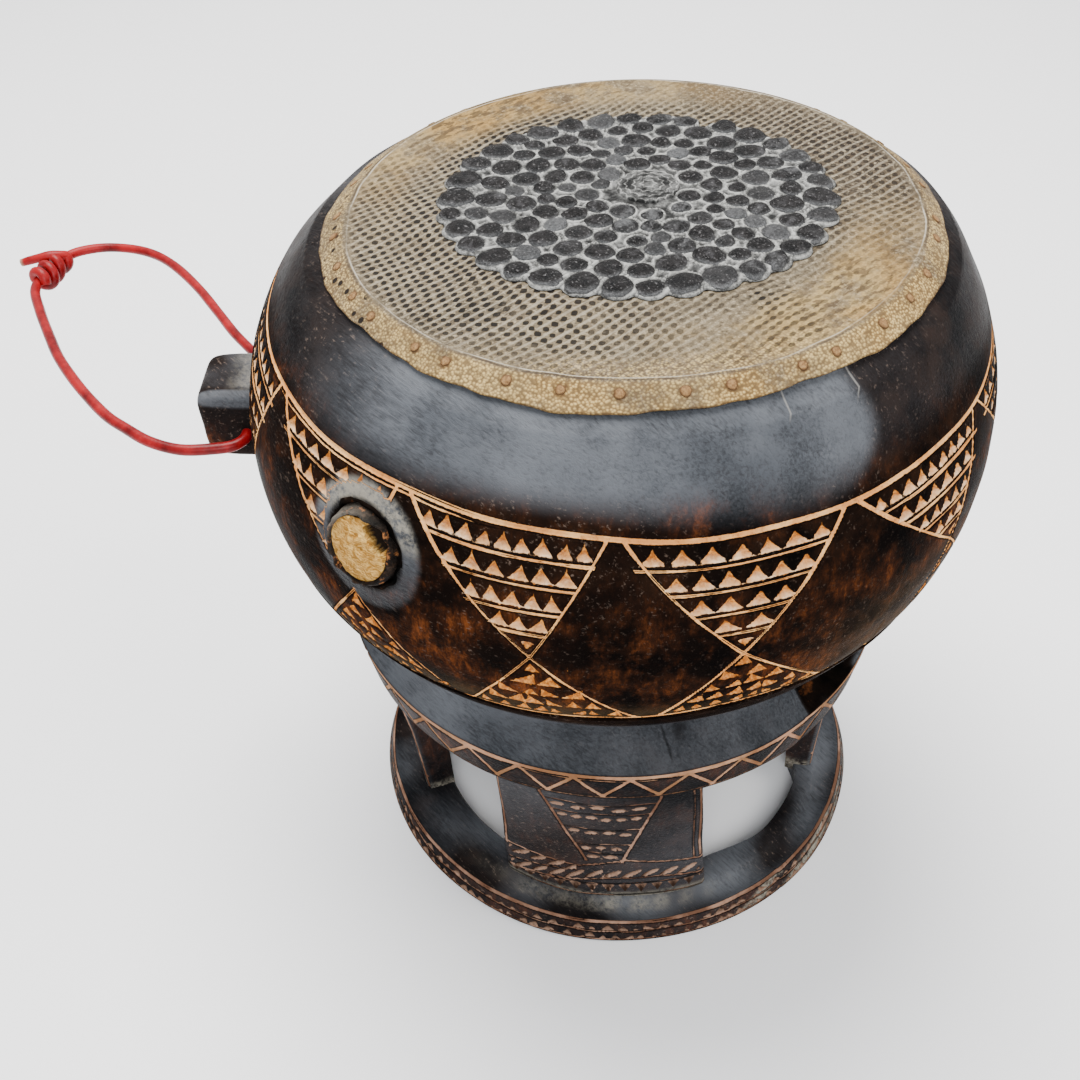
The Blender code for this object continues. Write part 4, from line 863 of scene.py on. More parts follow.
def bowl_surface(angle, z, tucked=0):
    """Points of the bowl's outside with its carving, its flattened land and its side hole, and their layers.

    The last rows, as many as tucked says, are set back to end behind the next piece.
    """
    r = bowl_radius(z)
    place = polar(r, angle, z)
    lean = bowl_radius(z + 0.5) - bowl_radius(z - 0.5)
    normal = polar(1 / np.hypot(1, lean), angle, -lean / np.hypot(1, lean))
    layers = bowl_carving(angle, z)
    middle, round_it, up_it, out_of = hole_frame()
    local = place - middle
    a, b, c = local @ round_it, local @ up_it, local @ out_of
    near = np.where(c > -60, np.hypot(a, b), 999)
    turn = np.arctan2(b, a)
    flank = camera_side(angle)
    bare = near < LAND_R - 1.5 - 4.5 * between(flank, -39, -46) * (b < 12)
    for name, none in (("chip", UNCUT), ("hang", -5), ("stand", -5)):
        layers[name] = np.where(bare, none, layers[name])
    layers["rows"] = np.where(bare & (np.abs(layers["rows"]) < 5), 5.4, layers["rows"])
    uneven = 0.25 * waves(6 * angle, z / 9, 3) + 0.12 * waves(23 * angle, z / 3, 5) - 0.45
    sink = np.zeros(z.shape)
    if tucked:
        sink[-tucked:] = 2.0
    place = place + normal * (uneven - cut_depth(layers) - sink)[..., None]
    c = (place - middle) @ out_of
    flat = np.where(near < LAND_R, np.minimum(c, -LAND_DEEP + 1.6 * between(near, LAND_R - 6, LAND_R)), c)
    flat = np.where(near < ragged_hole(turn) + 0.1, -16, flat)
    place = place + out_of * (flat - c)[..., None]

    # The blue-grey band on the shoulder is a painted sheen, the sky's reflection. It is strongest at the
    # front and ends on the right at far_end. The land round the side hole holds dust.
    far_end = 41.5 - ((z - 329) / 7.5) ** 2
    lit = between(flank, -60, -33) * between(flank, far_end, far_end - 4.5)
    lit = np.maximum(lit, 0.4 * (0.5 + 0.5 * np.sin(3 * angle + 2)) * between(np.abs(flank), 95, 115))
    sheen = between(z, 311 + 3 * np.sin(5 * angle), 326) * (0.10 + 0.90 * lit)
    land = between(near, 29, 25) * (0.45 + 0.55 * between(b, -8, 8))
    layers["dust_and_sheen"] = np.maximum(sheen, land)
    warm = between(z, 304, 264) * between(z, 214, 226) * (0.8 + 0.2 * np.sin(2 * angle))
    spot = 0.75 * np.exp(-(((flank - 13) / 8) ** 2)) + 0.5 * np.exp(-(((flank + 62) / 12) ** 2)) + 0.12
    layers["warm"] = np.clip(warm + spot * between(z, 300, 312) * between(z, 330, 314), 0, 1)
    layers["char_and_shade"] = between(near, 20.8, 19.0)
    layers["chalk"] = 0.8 * land * between(b, 4, 14)
    aside = r * np.sin(np.radians(flank)) - DRIPS_AT
    layers["drip"] = np.clip(np.abs(aside) - 12.5, -6, 6)
    layers["dripping"] = between(z, 336 - 1.5 * (aside > 0), 338.5) * (np.abs(aside) < 24)
    right = 0.75 * between(flank, 22, 46) * between(flank, 120, 90) * between(z, 275, 228)
    layers["olive"] = np.maximum(0.8 * between(z, 232, 210), right)
    return place, layers


def zigzag(angle, z, low, high, teeth, shift):
    """The distance to a zigzag line round a band, whose peaks touch the band's top."""
    share = (angle / TAU * teeth + shift) % 1
    wave = np.abs(share * 2 - 1)
    target = low + (high - low) * wave
    slope = 2 * (high - low) * teeth / (TAU * BAND_R)
    return np.abs(z - target) / np.hypot(1, slope)


def make_neck_and_ring(finish):
    """The dished neck, its old break and the pedestal's upper ring, with the hollow dome under them."""
    columns = 900
    angle = np.linspace(0, TAU, columns, endpoint=False)
    low = border_low(angle)
    neck_z = low - 1.5 + (LIP_Z + 1.0 - low + 1.5) * np.linspace(0, 1, 34)[:, None]
    band_z = np.linspace(LIP_Z - 0.8, BAND_Z, 22)[:, None] * np.ones(columns)
    z = np.concatenate((neck_z, np.full((1, columns), LIP_Z + 0.4), band_z))
    band_r = BAND_R + (LIP_R - BAND_R) * (z - BAND_Z) / (LIP_Z - BAND_Z)
    radius = np.where(z > LIP_Z + 0.9, neck_radius(z), band_r)
    radius[len(neck_z)] = LIP_R - 0.4
    on_band = z < LIP_Z + 0.5
    flank = camera_side(angle)
    unsteady = 0.9 * np.sin(7 * angle + 1) + 0.6 * np.sin(17 * angle)
    teeth = zigzag(angle + np.radians(0.12) * unsteady, z, BAND_Z + 2.0, LIP_Z - 2.2, 32, 0.43)
    second = np.where(z < LIP_Z - 7, 99, np.abs(z - LIP_Z + 3.3 + 0.5 * unsteady))
    rim = 1.35 - np.abs(z - LIP_Z + 0.9)
    lines = np.maximum.reduce((1.05 - teeth, rim, 0.35 - second, 0.45 - np.abs(z - BAND_Z - 1.2)))
    line = np.where(on_band, lines, UNCUT)
    uneven = 0.3 * waves(5 * angle, z / 7, 11) + 0.12 * waves(19 * angle, z / 3, 12)
    low_edge = 145.6 + 0.8 * waves(30 * angle, 0 * z, 13)
    in_break = between(flank, 45.6, 46.8) * between(flank, 65, 63.4)
    in_break = in_break * between(z, low_edge, low_edge + 1.2) * between(z, 171, 168.5)
    # The break's hollow and a thin margin round it are painted black as the shade inside it, with no dust.
    black = between(flank, 44.8, 45.4) * between(flank, 65.8, 65.2)
    black = black * between(z, low_edge - 2.3, low_edge - 1.7) * between(z, 173.5, 172)
    radius = radius - 0.7 * np.clip(line * 1.2, 0, 1) + uneven - 15 * in_break
    place = polar(radius, angle, z)
    dome = HOLLOW_TOP_Z - HOLLOW_WALL_Z
    under = [(LEG_TOP_R, LEG_TOP_Z), (HOLLOW_R + 1, LEG_TOP_Z)]
    under += [(HOLLOW_R, LEG_TOP_Z + 1), (HOLLOW_R, HOLLOW_WALL_Z)]
    under += [(HOLLOW_R * np.cos(t), HOLLOW_WALL_Z + dome * np.sin(t)) for t in np.radians((20, 40, 60, 78))]
    under.append((0, HOLLOW_TOP_Z))
    above = turned(((0, 192), (90, 194), (134, 206)), angle)
    pad = ((len(above), len(under)), (0, 0))
    # The neck's grey fades out towards the bowl above it: painted shade under the bowl.
    dust_and_sheen = np.where(on_band, 0.12, between(z, 203, 176) * (0.80 + 0.2 * np.sin(3 * angle)))
    blot = np.exp(-(((flank + 44) / 3.4) ** 2) - ((z - 166) / 12) ** 2)
    blot = blot + 0.7 * np.exp(-(((flank - 16) / 1.4) ** 2) - ((z - 158) / 5) ** 2)
    crack = np.exp(-(((flank - 13.5 + 0.12 * (z - 150)) / 0.22) ** 2))
    crack = crack * between(z, 146, 148) * between(z, 163, 158)
    dust_and_sheen = dust_and_sheen * np.clip(1 - 0.95 * blot, 0, 1) * (1 - black)
    layers = {"dust_and_sheen": dust_and_sheen, "warm": np.where(on_band, 0.4, 0.0), "char_and_shade": np.maximum(black, 0.9 * crack)}
    layers = {name: np.pad(values, pad) for name, values in layers.items()}
    layers["line"] = np.pad(line, pad, constant_values=UNCUT)
    layers |= {"chip": UNCUT, "aged": np.pad(np.where(on_band, 0.85, 0), pad)}
    grid = np.concatenate((above, place, turned(under, angle)))
    make_piece("neck_and_ring", grid, finish, layers=layers)


def leaf(across, up, wide, high):
    """How far inside a leaf-shaped cut a place is: two arcs that meet in points on its left and right."""
    inside = high * (1 - (across / wide) ** 2) - np.abs(up)
    return np.where(np.abs(across) < wide, inside, -np.abs(across) + wide)


# The leg panel's field: its half width at two heights, and each row's height, number of leaves and lean
PANEL_HALF = ((50, 114), (10, 29.5))
PANEL_ROWS = ((105.0, 5, 1.0), (95.5, 6, 0.6), (79.5, 4, 1.2), (63.0, 3, 0.8), (54.0, 2, 1.1))


def leg_carving(x, z, half_wide):
    """The carving on a panelled leg, at places given by the distance across it and the height.

    A line runs down each edge, doubled on the right. A field that narrows downwards holds rows of leaf-shaped
    notches under lines. Below it slanted leaves run in a row and a half over a row of teeth that point down.
    """
    edge = half_wide - 1.4 + 0.5 * np.sin(z / 13)
    line = np.where(z > 43, 0.85 - np.abs(np.abs(x) - edge), UNCUT)
    line = np.maximum(line, np.where((z > 44) & (x > 0), 0.45 - np.abs(x - edge + 3.6), UNCUT))
    half = np.interp(z, *PANEL_HALF) - np.where(x > 0, 0, 2.0)
    side = (half - np.abs(x)) * 0.957
    line = np.maximum(line, np.where((z > 48.5) & (z < 120), 0.8 - np.abs(side), UNCUT))
    sill = np.interp(x, (-52, -12, -8, 8, 12, 52), (47, 43, 45, 50, 51.5, 42))
    leaves = np.interp(x, (-53, -25, 0, 25, 50), (23.5, 31, 37, 37, 33))
    teeth = np.interp(x, (-53, -25, 0, 50), (19.5, 24, 26, 25))
    over = np.where(x < -12, leaves + 5.2, sill)
    lines = ((sill, 0.75), (over, 0.6), (leaves - 4.6, 0.7), (teeth + 1.2, 0.5), (15.0, 0.5))
    for height, half_line in lines:
        line = np.maximum(line, half_line - np.abs(z - height - 0.5 * np.sin(x / 11)))
    chip, facet = np.full(x.shape, UNCUT), np.full(x.shape, UNCUT)
    draw = np.random.default_rng(77)
    for base, count, lean in PANEL_ROWS:
        wide = np.interp(base, *PANEL_HALF) - 2.5
        cell = 2 * wide / count
        share = (x + wide) / cell
        number = np.clip(np.floor(share), 0, count - 1).astype(int)
        shift = draw.normal(0, 0.6, count)[number]
        across = (share - number - 0.5) * cell
        up = z - base - shift - 0.08 * across * lean
        got = np.where(side > 1.2, leaf(across, up, cell * 0.44, 2.0), UNCUT)
        # facet paints the lower half of each leaf paler, partly as painted light.
        facet = np.where(got > chip, -up + 0.7, facet)
        chip = np.maximum(chip, got)
        above = 0.42 - np.abs(z - base - 4.2 - 0.6 * np.sin(x / 6 + base))
        line = np.maximum(line, np.where(side > 0, above, UNCUT))
    for low, from_x, to_x in ((40.3 + 0 * x, -53, -13), (leaves, -53, 51)):
        cell = 9.6
        share = (x - 1.15 * (z - low)) / cell
        number = np.floor(share)
        across = (share - number - 0.5) * cell
        high = 3.4 + 0.5 * np.sin(number * 2.1)
        got = leaf(z - low + 0.25 * across, across * 0.8, high + 1.4, 2.6)
        got = np.where((x > from_x) & (x < to_x) & (np.abs(x) < edge - 1), got, UNCUT)
        # Each slanted leaf is painted paler on one side, partly as painted light.
        facet = np.where(got > chip, across * 0.7 + 0.5, facet)
        chip = np.maximum(chip, got)
    cell = 8.4
    share = x / cell + 0.2
    across = (share - np.floor(share) - 0.5) * cell
    got, lower = triangle_chip(across, teeth + 0.2 - z, 3.7, teeth - 15.4)
    got = np.where(np.abs(x) < edge - 1, got, UNCUT)
    facet, chip = np.where(got > chip, lower, facet), np.maximum(chip, got)
    return line, chip, facet


def make_legs(finish):
    """The four legs, each a closed block carried down from the ring to the foot with its corners rounded.

    Its outline at a height is a closed loop: across the outer face, through a rounded corner, along the side
    to the hollow, and back.
    """
    face, cheek, back = 120, 9, 12
    rows_z = np.linspace(WINDOW_HIGH + 4, 9, 100)[:, None]
    grids, kept = [], {name: [] for name in ("line", "chip", "facet", "dust_and_sheen", "warm", "chalk")}
    for number, (first, last) in enumerate(LEGS):
        share = (WINDOW_HIGH - rows_z) / (WINDOW_HIGH - WINDOW_LOW)
        left = np.radians(first - WINDOW_NARROWING * share)
        right = np.radians(last + WINDOW_NARROWING * share)
        outer = leg_radius(np.clip(rows_z, LEG_FOOT_Z, LEG_TOP_Z))
        across = np.linspace(0, 1, face)[None]
        angle_face = left + (right - left) * across
        radius_face = outer - 1.2 * (np.exp(-((across * 90) ** 2)) + np.exp(-(((1 - across) * 90) ** 2)))
        down = np.linspace(0, 1, cheek + 2)[None, 1:-1]
        radius_cheek = outer - 2.0 + (HOLLOW_R - outer + 2.0) * down
        bulge = np.radians(0.35) * np.sin(np.pi * down)
        inside = np.linspace(0, 1, back)[None]
        angle_back = right + (left - right) * inside
        angles = (angle_face, right + bulge + 0 * radius_cheek, angle_back, left - bulge + 0 * radius_cheek)
        loop_angle = np.concatenate(angles, 1)
        radii = (radius_face, radius_cheek, HOLLOW_R + 0 * angle_back, radius_cheek[:, ::-1])
        loop_r = np.concatenate(radii, 1)
        x = (loop_angle - (left + right) / 2) * outer
        z = rows_z + 0 * x
        on_face = np.zeros(x.shape)
        on_face[:, :face] = 1
        half_wide = (right - left) / 2 * outer
        if number in (1, 3):
            line, chip, facet = leg_carving(x, z, half_wide)
        else:
            line = np.maximum(0.8 - np.abs(np.abs(x) - half_wide + 1.5), 0.6 - np.abs(z - 24))
            chip, facet = np.full(x.shape, UNCUT), np.full(x.shape, UNCUT)
        line, chip = np.where(on_face > 0, line, UNCUT), np.where(on_face > 0, chip, UNCUT)
        depth = 0.8 * np.clip(line * 1.3, 0, 1) + np.minimum(np.clip(chip, 0, 9) * 1.0, 1.6)
        uneven = 0.35 * waves(x / 9, z / 9, 21 + number) * on_face
        loop = polar(loop_r - depth + uneven, loop_angle, z)
        ends = [np.repeat(loop[i].mean(0)[None, None], loop.shape[1], axis=1) for i in (0, -1)]
        grids.append(np.concatenate((ends[0], loop, ends[1])))
        # The sides and back of each leg get less grey and more red-brown than its face. This is partly raw
        # brown wood and partly painted shade on the faces turned from the light.
        dust_and_sheen = np.clip(0.30 + 0.2 * waves(x / 20, z / 20, 31 + number), 0, 1) * on_face + 0.12 * (1 - on_face)
        made = {"line": line, "chip": chip, "facet": facet, "warm": np.where(on_face > 0, 0.12, 0.3)}
        made |= {"dust_and_sheen": dust_and_sheen, "chalk": 0.75 * between(z, 20, 14) + 0 * x}
        for name, values in made.items():
            kept[name].append(np.pad(values, ((1, 1), (0, 0)), mode="edge"))
    layers = {name: np.stack(values) for name, values in kept.items()} | {"aged": 1.0}
    make_piece("legs", np.stack(grids), finish, layers=layers, sharp=50)


def make_foot(finish):
    """The foot ring: a dished top that holds dust, a carved rim and a flat underside, as one closed ring."""
    columns = 1000
    angle = np.linspace(0, TAU, columns, endpoint=False)
    slope = np.linspace(FOOT_LIP_Z - 0.6, 0.9, 19)
    rim = [(FOOT_R + (FOOT_LIP_R - FOOT_R) * (z - 1.2) / (FOOT_LIP_Z - 1.2), z) for z in slope]
    dish = [
        (HOLLOW_R + 0.2, 12.2), (HOLLOW_R + 1.2, WINDOW_LOW), (101, WINDOW_LOW + 0.2),
        (104, WINDOW_LOW + 0.2), (108, 14), (LEG_FOOT_R, LEG_FOOT_Z - 0.2), (113.5, 13.2), (115, 12.4),
        (117, 11.9), (DISH_R, DISH_Z), (120.5, 11.6), (122.5, 12), (124, 12.7), (125, FOOT_LIP_Z - 0.1),
        (FOOT_LIP_R - 0.3, FOOT_LIP_Z),
    ]
    under = [(FOOT_R - 0.8, 0.0), (115, 0.0), (HOLLOW_R + 1, 0.0), (HOLLOW_R, 1.0), (HOLLOW_R, 11.0)]
    profile = np.array(dish + rim + under)
    r, z = (profile[:, i, None] + 0 * angle for i in (0, 1))
    on_rim = np.zeros((len(profile), 1), bool)
    on_rim[len(dish) : len(dish) + len(rim)] = True
    chip, facet = np.full(z.shape, UNCUT), np.full(z.shape, UNCUT)
    draw = np.random.default_rng(61)
    for low, cell, tall in ((7.0, 7.4, 4.2), (1.9, 6.2, 4.2)):
        count = round(TAU * FOOT_R / cell)
        share = angle / TAU * count
        number = np.floor(share).astype(int) % count
        size = draw.uniform(0.45, 1.3, count)[number]
        shift = draw.normal(0, 0.8, count)[number]
        lean = draw.normal(0, 0.6, count)[number]
        across = (share - np.floor(share) - 0.5) * cell + shift + (z - low) * lean
        got, lower = triangle_chip(across, z - low - 0.4 * shift, cell * 0.46 * size, tall * size)
        facet, chip = np.where(got > chip, lower, facet), np.maximum(chip, got)
    chip = np.where(on_rim, chip, UNCUT)
    flank = camera_side(angle)
    frayed = 0.5 * waves(40 * angle, z / 2, 67)
    thin = np.maximum(0.45 - np.abs(z - 6.7 + frayed), 0.4 - np.abs(z - 1.6))
    line = np.where(on_rim, np.maximum(thin, 0.65 - np.abs(z - 12.4 - 0.5 * frayed)), UNCUT)
    lip = 0.5 + 0.3 * frayed - np.abs(r - FOOT_LIP_R + 0.3)
    line = np.maximum(line, np.where((r > 124.6) & (z > 12), lip, UNCUT))
    depth = 0.5 * np.clip(line * 1.5, 0, 1) + np.minimum(np.clip(chip, 0, 9), 1.4)
    uneven = 0.25 * waves(9 * angle, z / 5, 41) * on_rim
    cut_back = between(flank, 30, 52) * between(flank, 84, 72)
    r = np.where(r < 104.5, r + cut_back * np.maximum(0, 104.5 - r), r)
    place = polar(r - depth + uneven, angle, z + 0.35 * waves(7 * angle, r / 9, 43) * ((z > 11) & ~on_rim))
    mottle = np.clip(0.55 + 0.6 * waves(14 * angle, r / 5, 71, 10), 0.12, 1)
    dusty = (0.95 - 0.2 * between(flank, -20, -50) * between(flank, -130, -95)) * mottle
    dust_and_sheen = np.where(on_rim, 0.1, dusty) * (r > HOLLOW_R + 0.1)
    front = np.exp(-(((flank + 1) / 24) ** 2)) * between(r, 110, 113.5) * between(r, 121, 116.5) * ~on_rim
    white = on_rim * between(flank, 22, 40) * between(flank, 100, 70)
    white = white * np.clip(0.4 + waves(31 * angle, z / 2, 73), 0, 1)
    chalk = np.maximum(0.55 * front * (0.6 + 0.4 * waves(60 * angle, r / 3, 75)), 0.8 * white)
    layers = {"line": line, "chip": chip, "facet": facet, "dust_and_sheen": dust_and_sheen, "chalk": np.clip(chalk, 0, 1)}
    layers["warm"] = np.where(on_rim, 0.3, 0.0) + 0 * z
    layers = {name: np.concatenate((values, values[:1])) for name, values in layers.items()} | {"aged": 1.0}
    grid = np.concatenate((place, place[:1]))
    make_piece("foot_ring", grid, finish, layers=layers, sharp=45)


def squared(value, power):
    """The value raised to a power, with its sign kept."""
    return np.sign(value) * np.abs(value) ** power


LUG_AT, LUG_IN, LUG_OUT, LUG_HALF, LUG_Z = np.radians(-132.8), 141, 187, 18, 245


def make_lug(finish):
    """The lug: a block with rounded corners, bulging at its far end, against the bowl's side.

    It is a ball drawn out towards a box: each of its points' sines and cosines is raised to a small power,
    and the far end is drawn in above and crowned.
    """
    v = np.linspace(0, np.pi, 72)[:, None]
    u = np.linspace(0, TAU, 112, endpoint=False)[None]
    x = squared(np.cos(v), 0.24) + 0 * u
    flat = squared(np.sin(v), 0.24)
    y, z = flat * squared(np.cos(u), 0.26), flat * squared(np.sin(u), 0.26)
    narrow = 1 - 0.03 * between(x, 0.2, 1.0)
    crown = 1.6 * (1 - np.clip(z, -1, 1) ** 2) + 2.0 * between(z, -0.1, 0.9) - 0.8
    x = x * (LUG_OUT - LUG_IN) / 2 + (LUG_OUT + LUG_IN) / 2 + crown * between(x, 0.2, 1.0)
    local = np.stack((x, y * LUG_HALF * narrow, z * LUG_HALF * narrow + LUG_Z), -1)
    local[..., 2] += 0.3 * waves(local[..., 0] / 9, local[..., 1] / 8, 51)
    across, along, high = local[..., 1], local[..., 0], local[..., 2]
    turn = np.array(((np.cos(LUG_AT), -np.sin(LUG_AT), 0), (np.sin(LUG_AT), np.cos(LUG_AT), 0), (0, 0, 1)))
    # The rounded edge between the lug's top and its front face is painted grey as a sheen, the sky's
    # reflection along it.
    bevel = np.hypot(np.minimum(high - 260.6, 0), np.minimum(across - 15.2, 0))
    worn = between(bevel, 4.2, 2.4) * (high > 256) * (across > 11)
    patch = between(high, 259, 261) * between(along, 176, 167) * between(across, 14, 8)
    dust_and_sheen = 0.05 + 0.3 * np.clip(waves(along / 4, across / 4, 57, 9), 0, 1) * (high > 259)
    warm = 0.9 * between(high, 250, 236) * between(along, 172, 182)
    layers = {"line": UNCUT, "chip": UNCUT, "warm": warm, "chalk": 0.6 * patch}
    layers["dust_and_sheen"] = np.maximum.reduce((dust_and_sheen, 0.7 * worn, patch))
    make_piece("lug", local @ turn.T, finish, layers=layers)


def in_hole(a, b, c):
    """Points given by the side hole's own directions: round the bowl, up it and out of it."""
    middle, round_it, up_it, out_of = hole_frame()
    return middle + a[..., None] * round_it + b[..., None] * up_it + c[..., None] * out_of


def make_hole_lining(finish):
    """The burnt wall of the side hole: a ragged tube that turns out over the land round it."""
    turn = np.linspace(0, TAU, 200, endpoint=False)
    profile = (
        (2.3, -2.6), (1.5, -1.95), (0.9, -1.65), (0.2, -1.9), (-0.2, -3), (0, -5), (0.2, -8),
        (0.4, -15.8), (2.6, -16),
    )
    wider, depth = np.array(profile).T[:, :, None]
    wide = ragged_hole(turn) + wider
    wide = wide + 0.4 * waves(9 * turn, depth * 1.3, 61) * (depth > -6) * (depth < -1.2)
    high = depth + 0.45 * waves(14 * turn, depth, 63) * (depth > -3)
    place = in_hole(wide * np.cos(turn), wide * np.sin(turn), high)
    char_and_shade = np.ones(wide.shape)
    char_and_shade[0] = 0.5
    layers = {"char_and_shade": np.concatenate((char_and_shade, char_and_shade[:1])), "line": UNCUT, "chip": UNCUT}
    make_piece("hole_lining", np.concatenate((place, place[:1])), finish, layers=layers)


MEMBRANE_R = 13.6


def make_resonator(collar_finish, membrane_finish):
    """The short tube in the side hole, charred and ragged at its mouth, and the membrane across it.

    The tube's profile gives its radius, its height out of the hole and how ragged it is there.
    """
    turn = np.linspace(0, TAU, 160, endpoint=False)
    profile = (
        (13.8, -9, 0), (17.2, -9, 0), (17.2, -8, 0), (17.2, -7, 0.1), (17.0, -5, 0.2), (16.8, -3.2, 0.3),
        (16.4, -1.2, 0.5), (16.0, 0.8, 0.7), (15.6, 2.4, 0.9), (15.0, 3.2, 1), (14.4, 3.0, 1),
        (13.9, 1.8, 0.8), (13.8, -0.2, 0.4), (13.8, -3, 0.2), (13.8, -9, 0),
    )
    radius, high, rough = np.array(profile).T[:, :, None]
    ragged = 0.5 * np.sin(5 * turn + 1) + 0.4 * np.sin(11 * turn) + 0.35 * np.sin(17 * turn + 2)
    torn = np.exp(-((wrapped(turn - np.radians(30)) / 0.9) ** 2))
    wide = radius + 0.55 * waves(9 * turn, high, 71) * rough
    place = in_hole(wide * np.cos(turn), wide * np.sin(turn), high + rough * (ragged - 3.2 * torn))
    rim = np.clip(rough * np.exp(-((wrapped(turn - np.radians(135)) / 0.8) ** 2)), 0, 1)
    collar = make_piece("resonator_tube", place, collar_finish, layers={"rim": rim})
    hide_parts("resonator_collar")
    share = np.linspace(0, 1, 30)[:, None]
    reach = MEMBRANE_R * np.sin(share * np.pi / 2)
    side_a, side_b = reach * np.cos(turn), reach * np.sin(turn)
    lean = np.radians(46)
    along = side_a * np.cos(lean) + side_b * np.sin(lean)
    across = -side_a * np.sin(lean) + side_b * np.cos(lean)
    slit = between(along, 9.2, 10.0) * between(np.abs(across - 0.3), 6.4, 5.0)
    tangle = 0.4 * waves(side_a * 1.1, side_b * 1.1, 81, 12) + 0.3 * waves(side_a * 2.6, side_b * 2.6, 82, 12)
    front = 2.0 + 2.2 * (1 - (reach / MEMBRANE_R) ** 2) + tangle * (1 - 0.6 * share)
    front = front - 4.5 * slit - 2.2 * torn * share**3
    top = in_hole(side_a, side_b, front)
    under = in_hole(side_a[::-1], side_b[::-1], front[::-1] - 1.0)
    # The slit is painted near-black as the shade inside it.
    dark = np.clip(slit * 1.6, 0, 1)
    layers = {"rim": np.concatenate((np.maximum(dark, 0.7 * between(share, 0.95, 1.0)), dark[::-1]))}
    grid = np.concatenate((top, under))
    membrane = make_piece("membrane", grid, membrane_finish, layers=layers)
    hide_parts("resonator_membrane")


PEGS, PEG_ALONG, PEG_FIRST, PEG_WANDER = 36, 0.39, np.radians(-45), np.radians(1.6)


def peg_places():
    """Each peg's middle and outward direction on the band of the skin."""
    number = np.arange(PEGS)
    angle = PEG_FIRST + TAU * number / PEGS + PEG_WANDER * np.sin(2.6 * number)
    r = RIDGE_R + (SKIN_EDGE_R - RIDGE_R) * PEG_ALONG
    z = SKIN_TOP_Z - (SKIN_TOP_Z - SKIN_EDGE_Z) * PEG_ALONG
    return polar(r, angle, z), polar(FOLD_OUT, angle, FOLD_UP)


def make_pegs(finish):
    """The pegs: round dowels with a worn, slightly domed end, driven nearly flush."""
    middle, outward = peg_places()
    turn = np.linspace(0, TAU, 14, endpoint=False)
    profile = ((0, -9.4, 0), (2.0, -9.4, 0), (2.05, 0.0, 1), (1.9, 0.25, 0.9), (1.4, 0.38, 0.1), (0, 0.42, 0))
    radius, height, edge = np.array(profile).T[:, None, :, None]
    round_it = np.cross((0, 0, 1.0), outward)
    round_it /= np.linalg.norm(round_it, axis=1)[:, None]
    other = np.cross(outward, round_it)
    draw = np.random.default_rng(7)
    size = draw.uniform(0.88, 1.08, (PEGS, 1, 1))
    wide = radius * size * (1 + 0.05 * np.sin(3 * turn + draw.uniform(0, TAU, (PEGS, 1, 1))))
    high = height + draw.uniform(-0.12, 0.1, (PEGS, 1, 1)) * (height > -5) + 0 * turn
    place = middle[:, None, None] + high[..., None] * outward[:, None, None]
    place = place + wide[..., None] * (
        np.cos(turn)[None, None, :, None] * round_it[:, None, None]
        + np.sin(turn)[None, None, :, None] * other[:, None, None]
    )
    layers = {"rim": np.broadcast_to(edge, wide.shape)}
    pegs = make_piece("skin_pegs", place, finish, layers=layers, flip=True)
    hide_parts(*(f"skin_peg_{i:02d}" for i in range(1, PEGS + 1)))


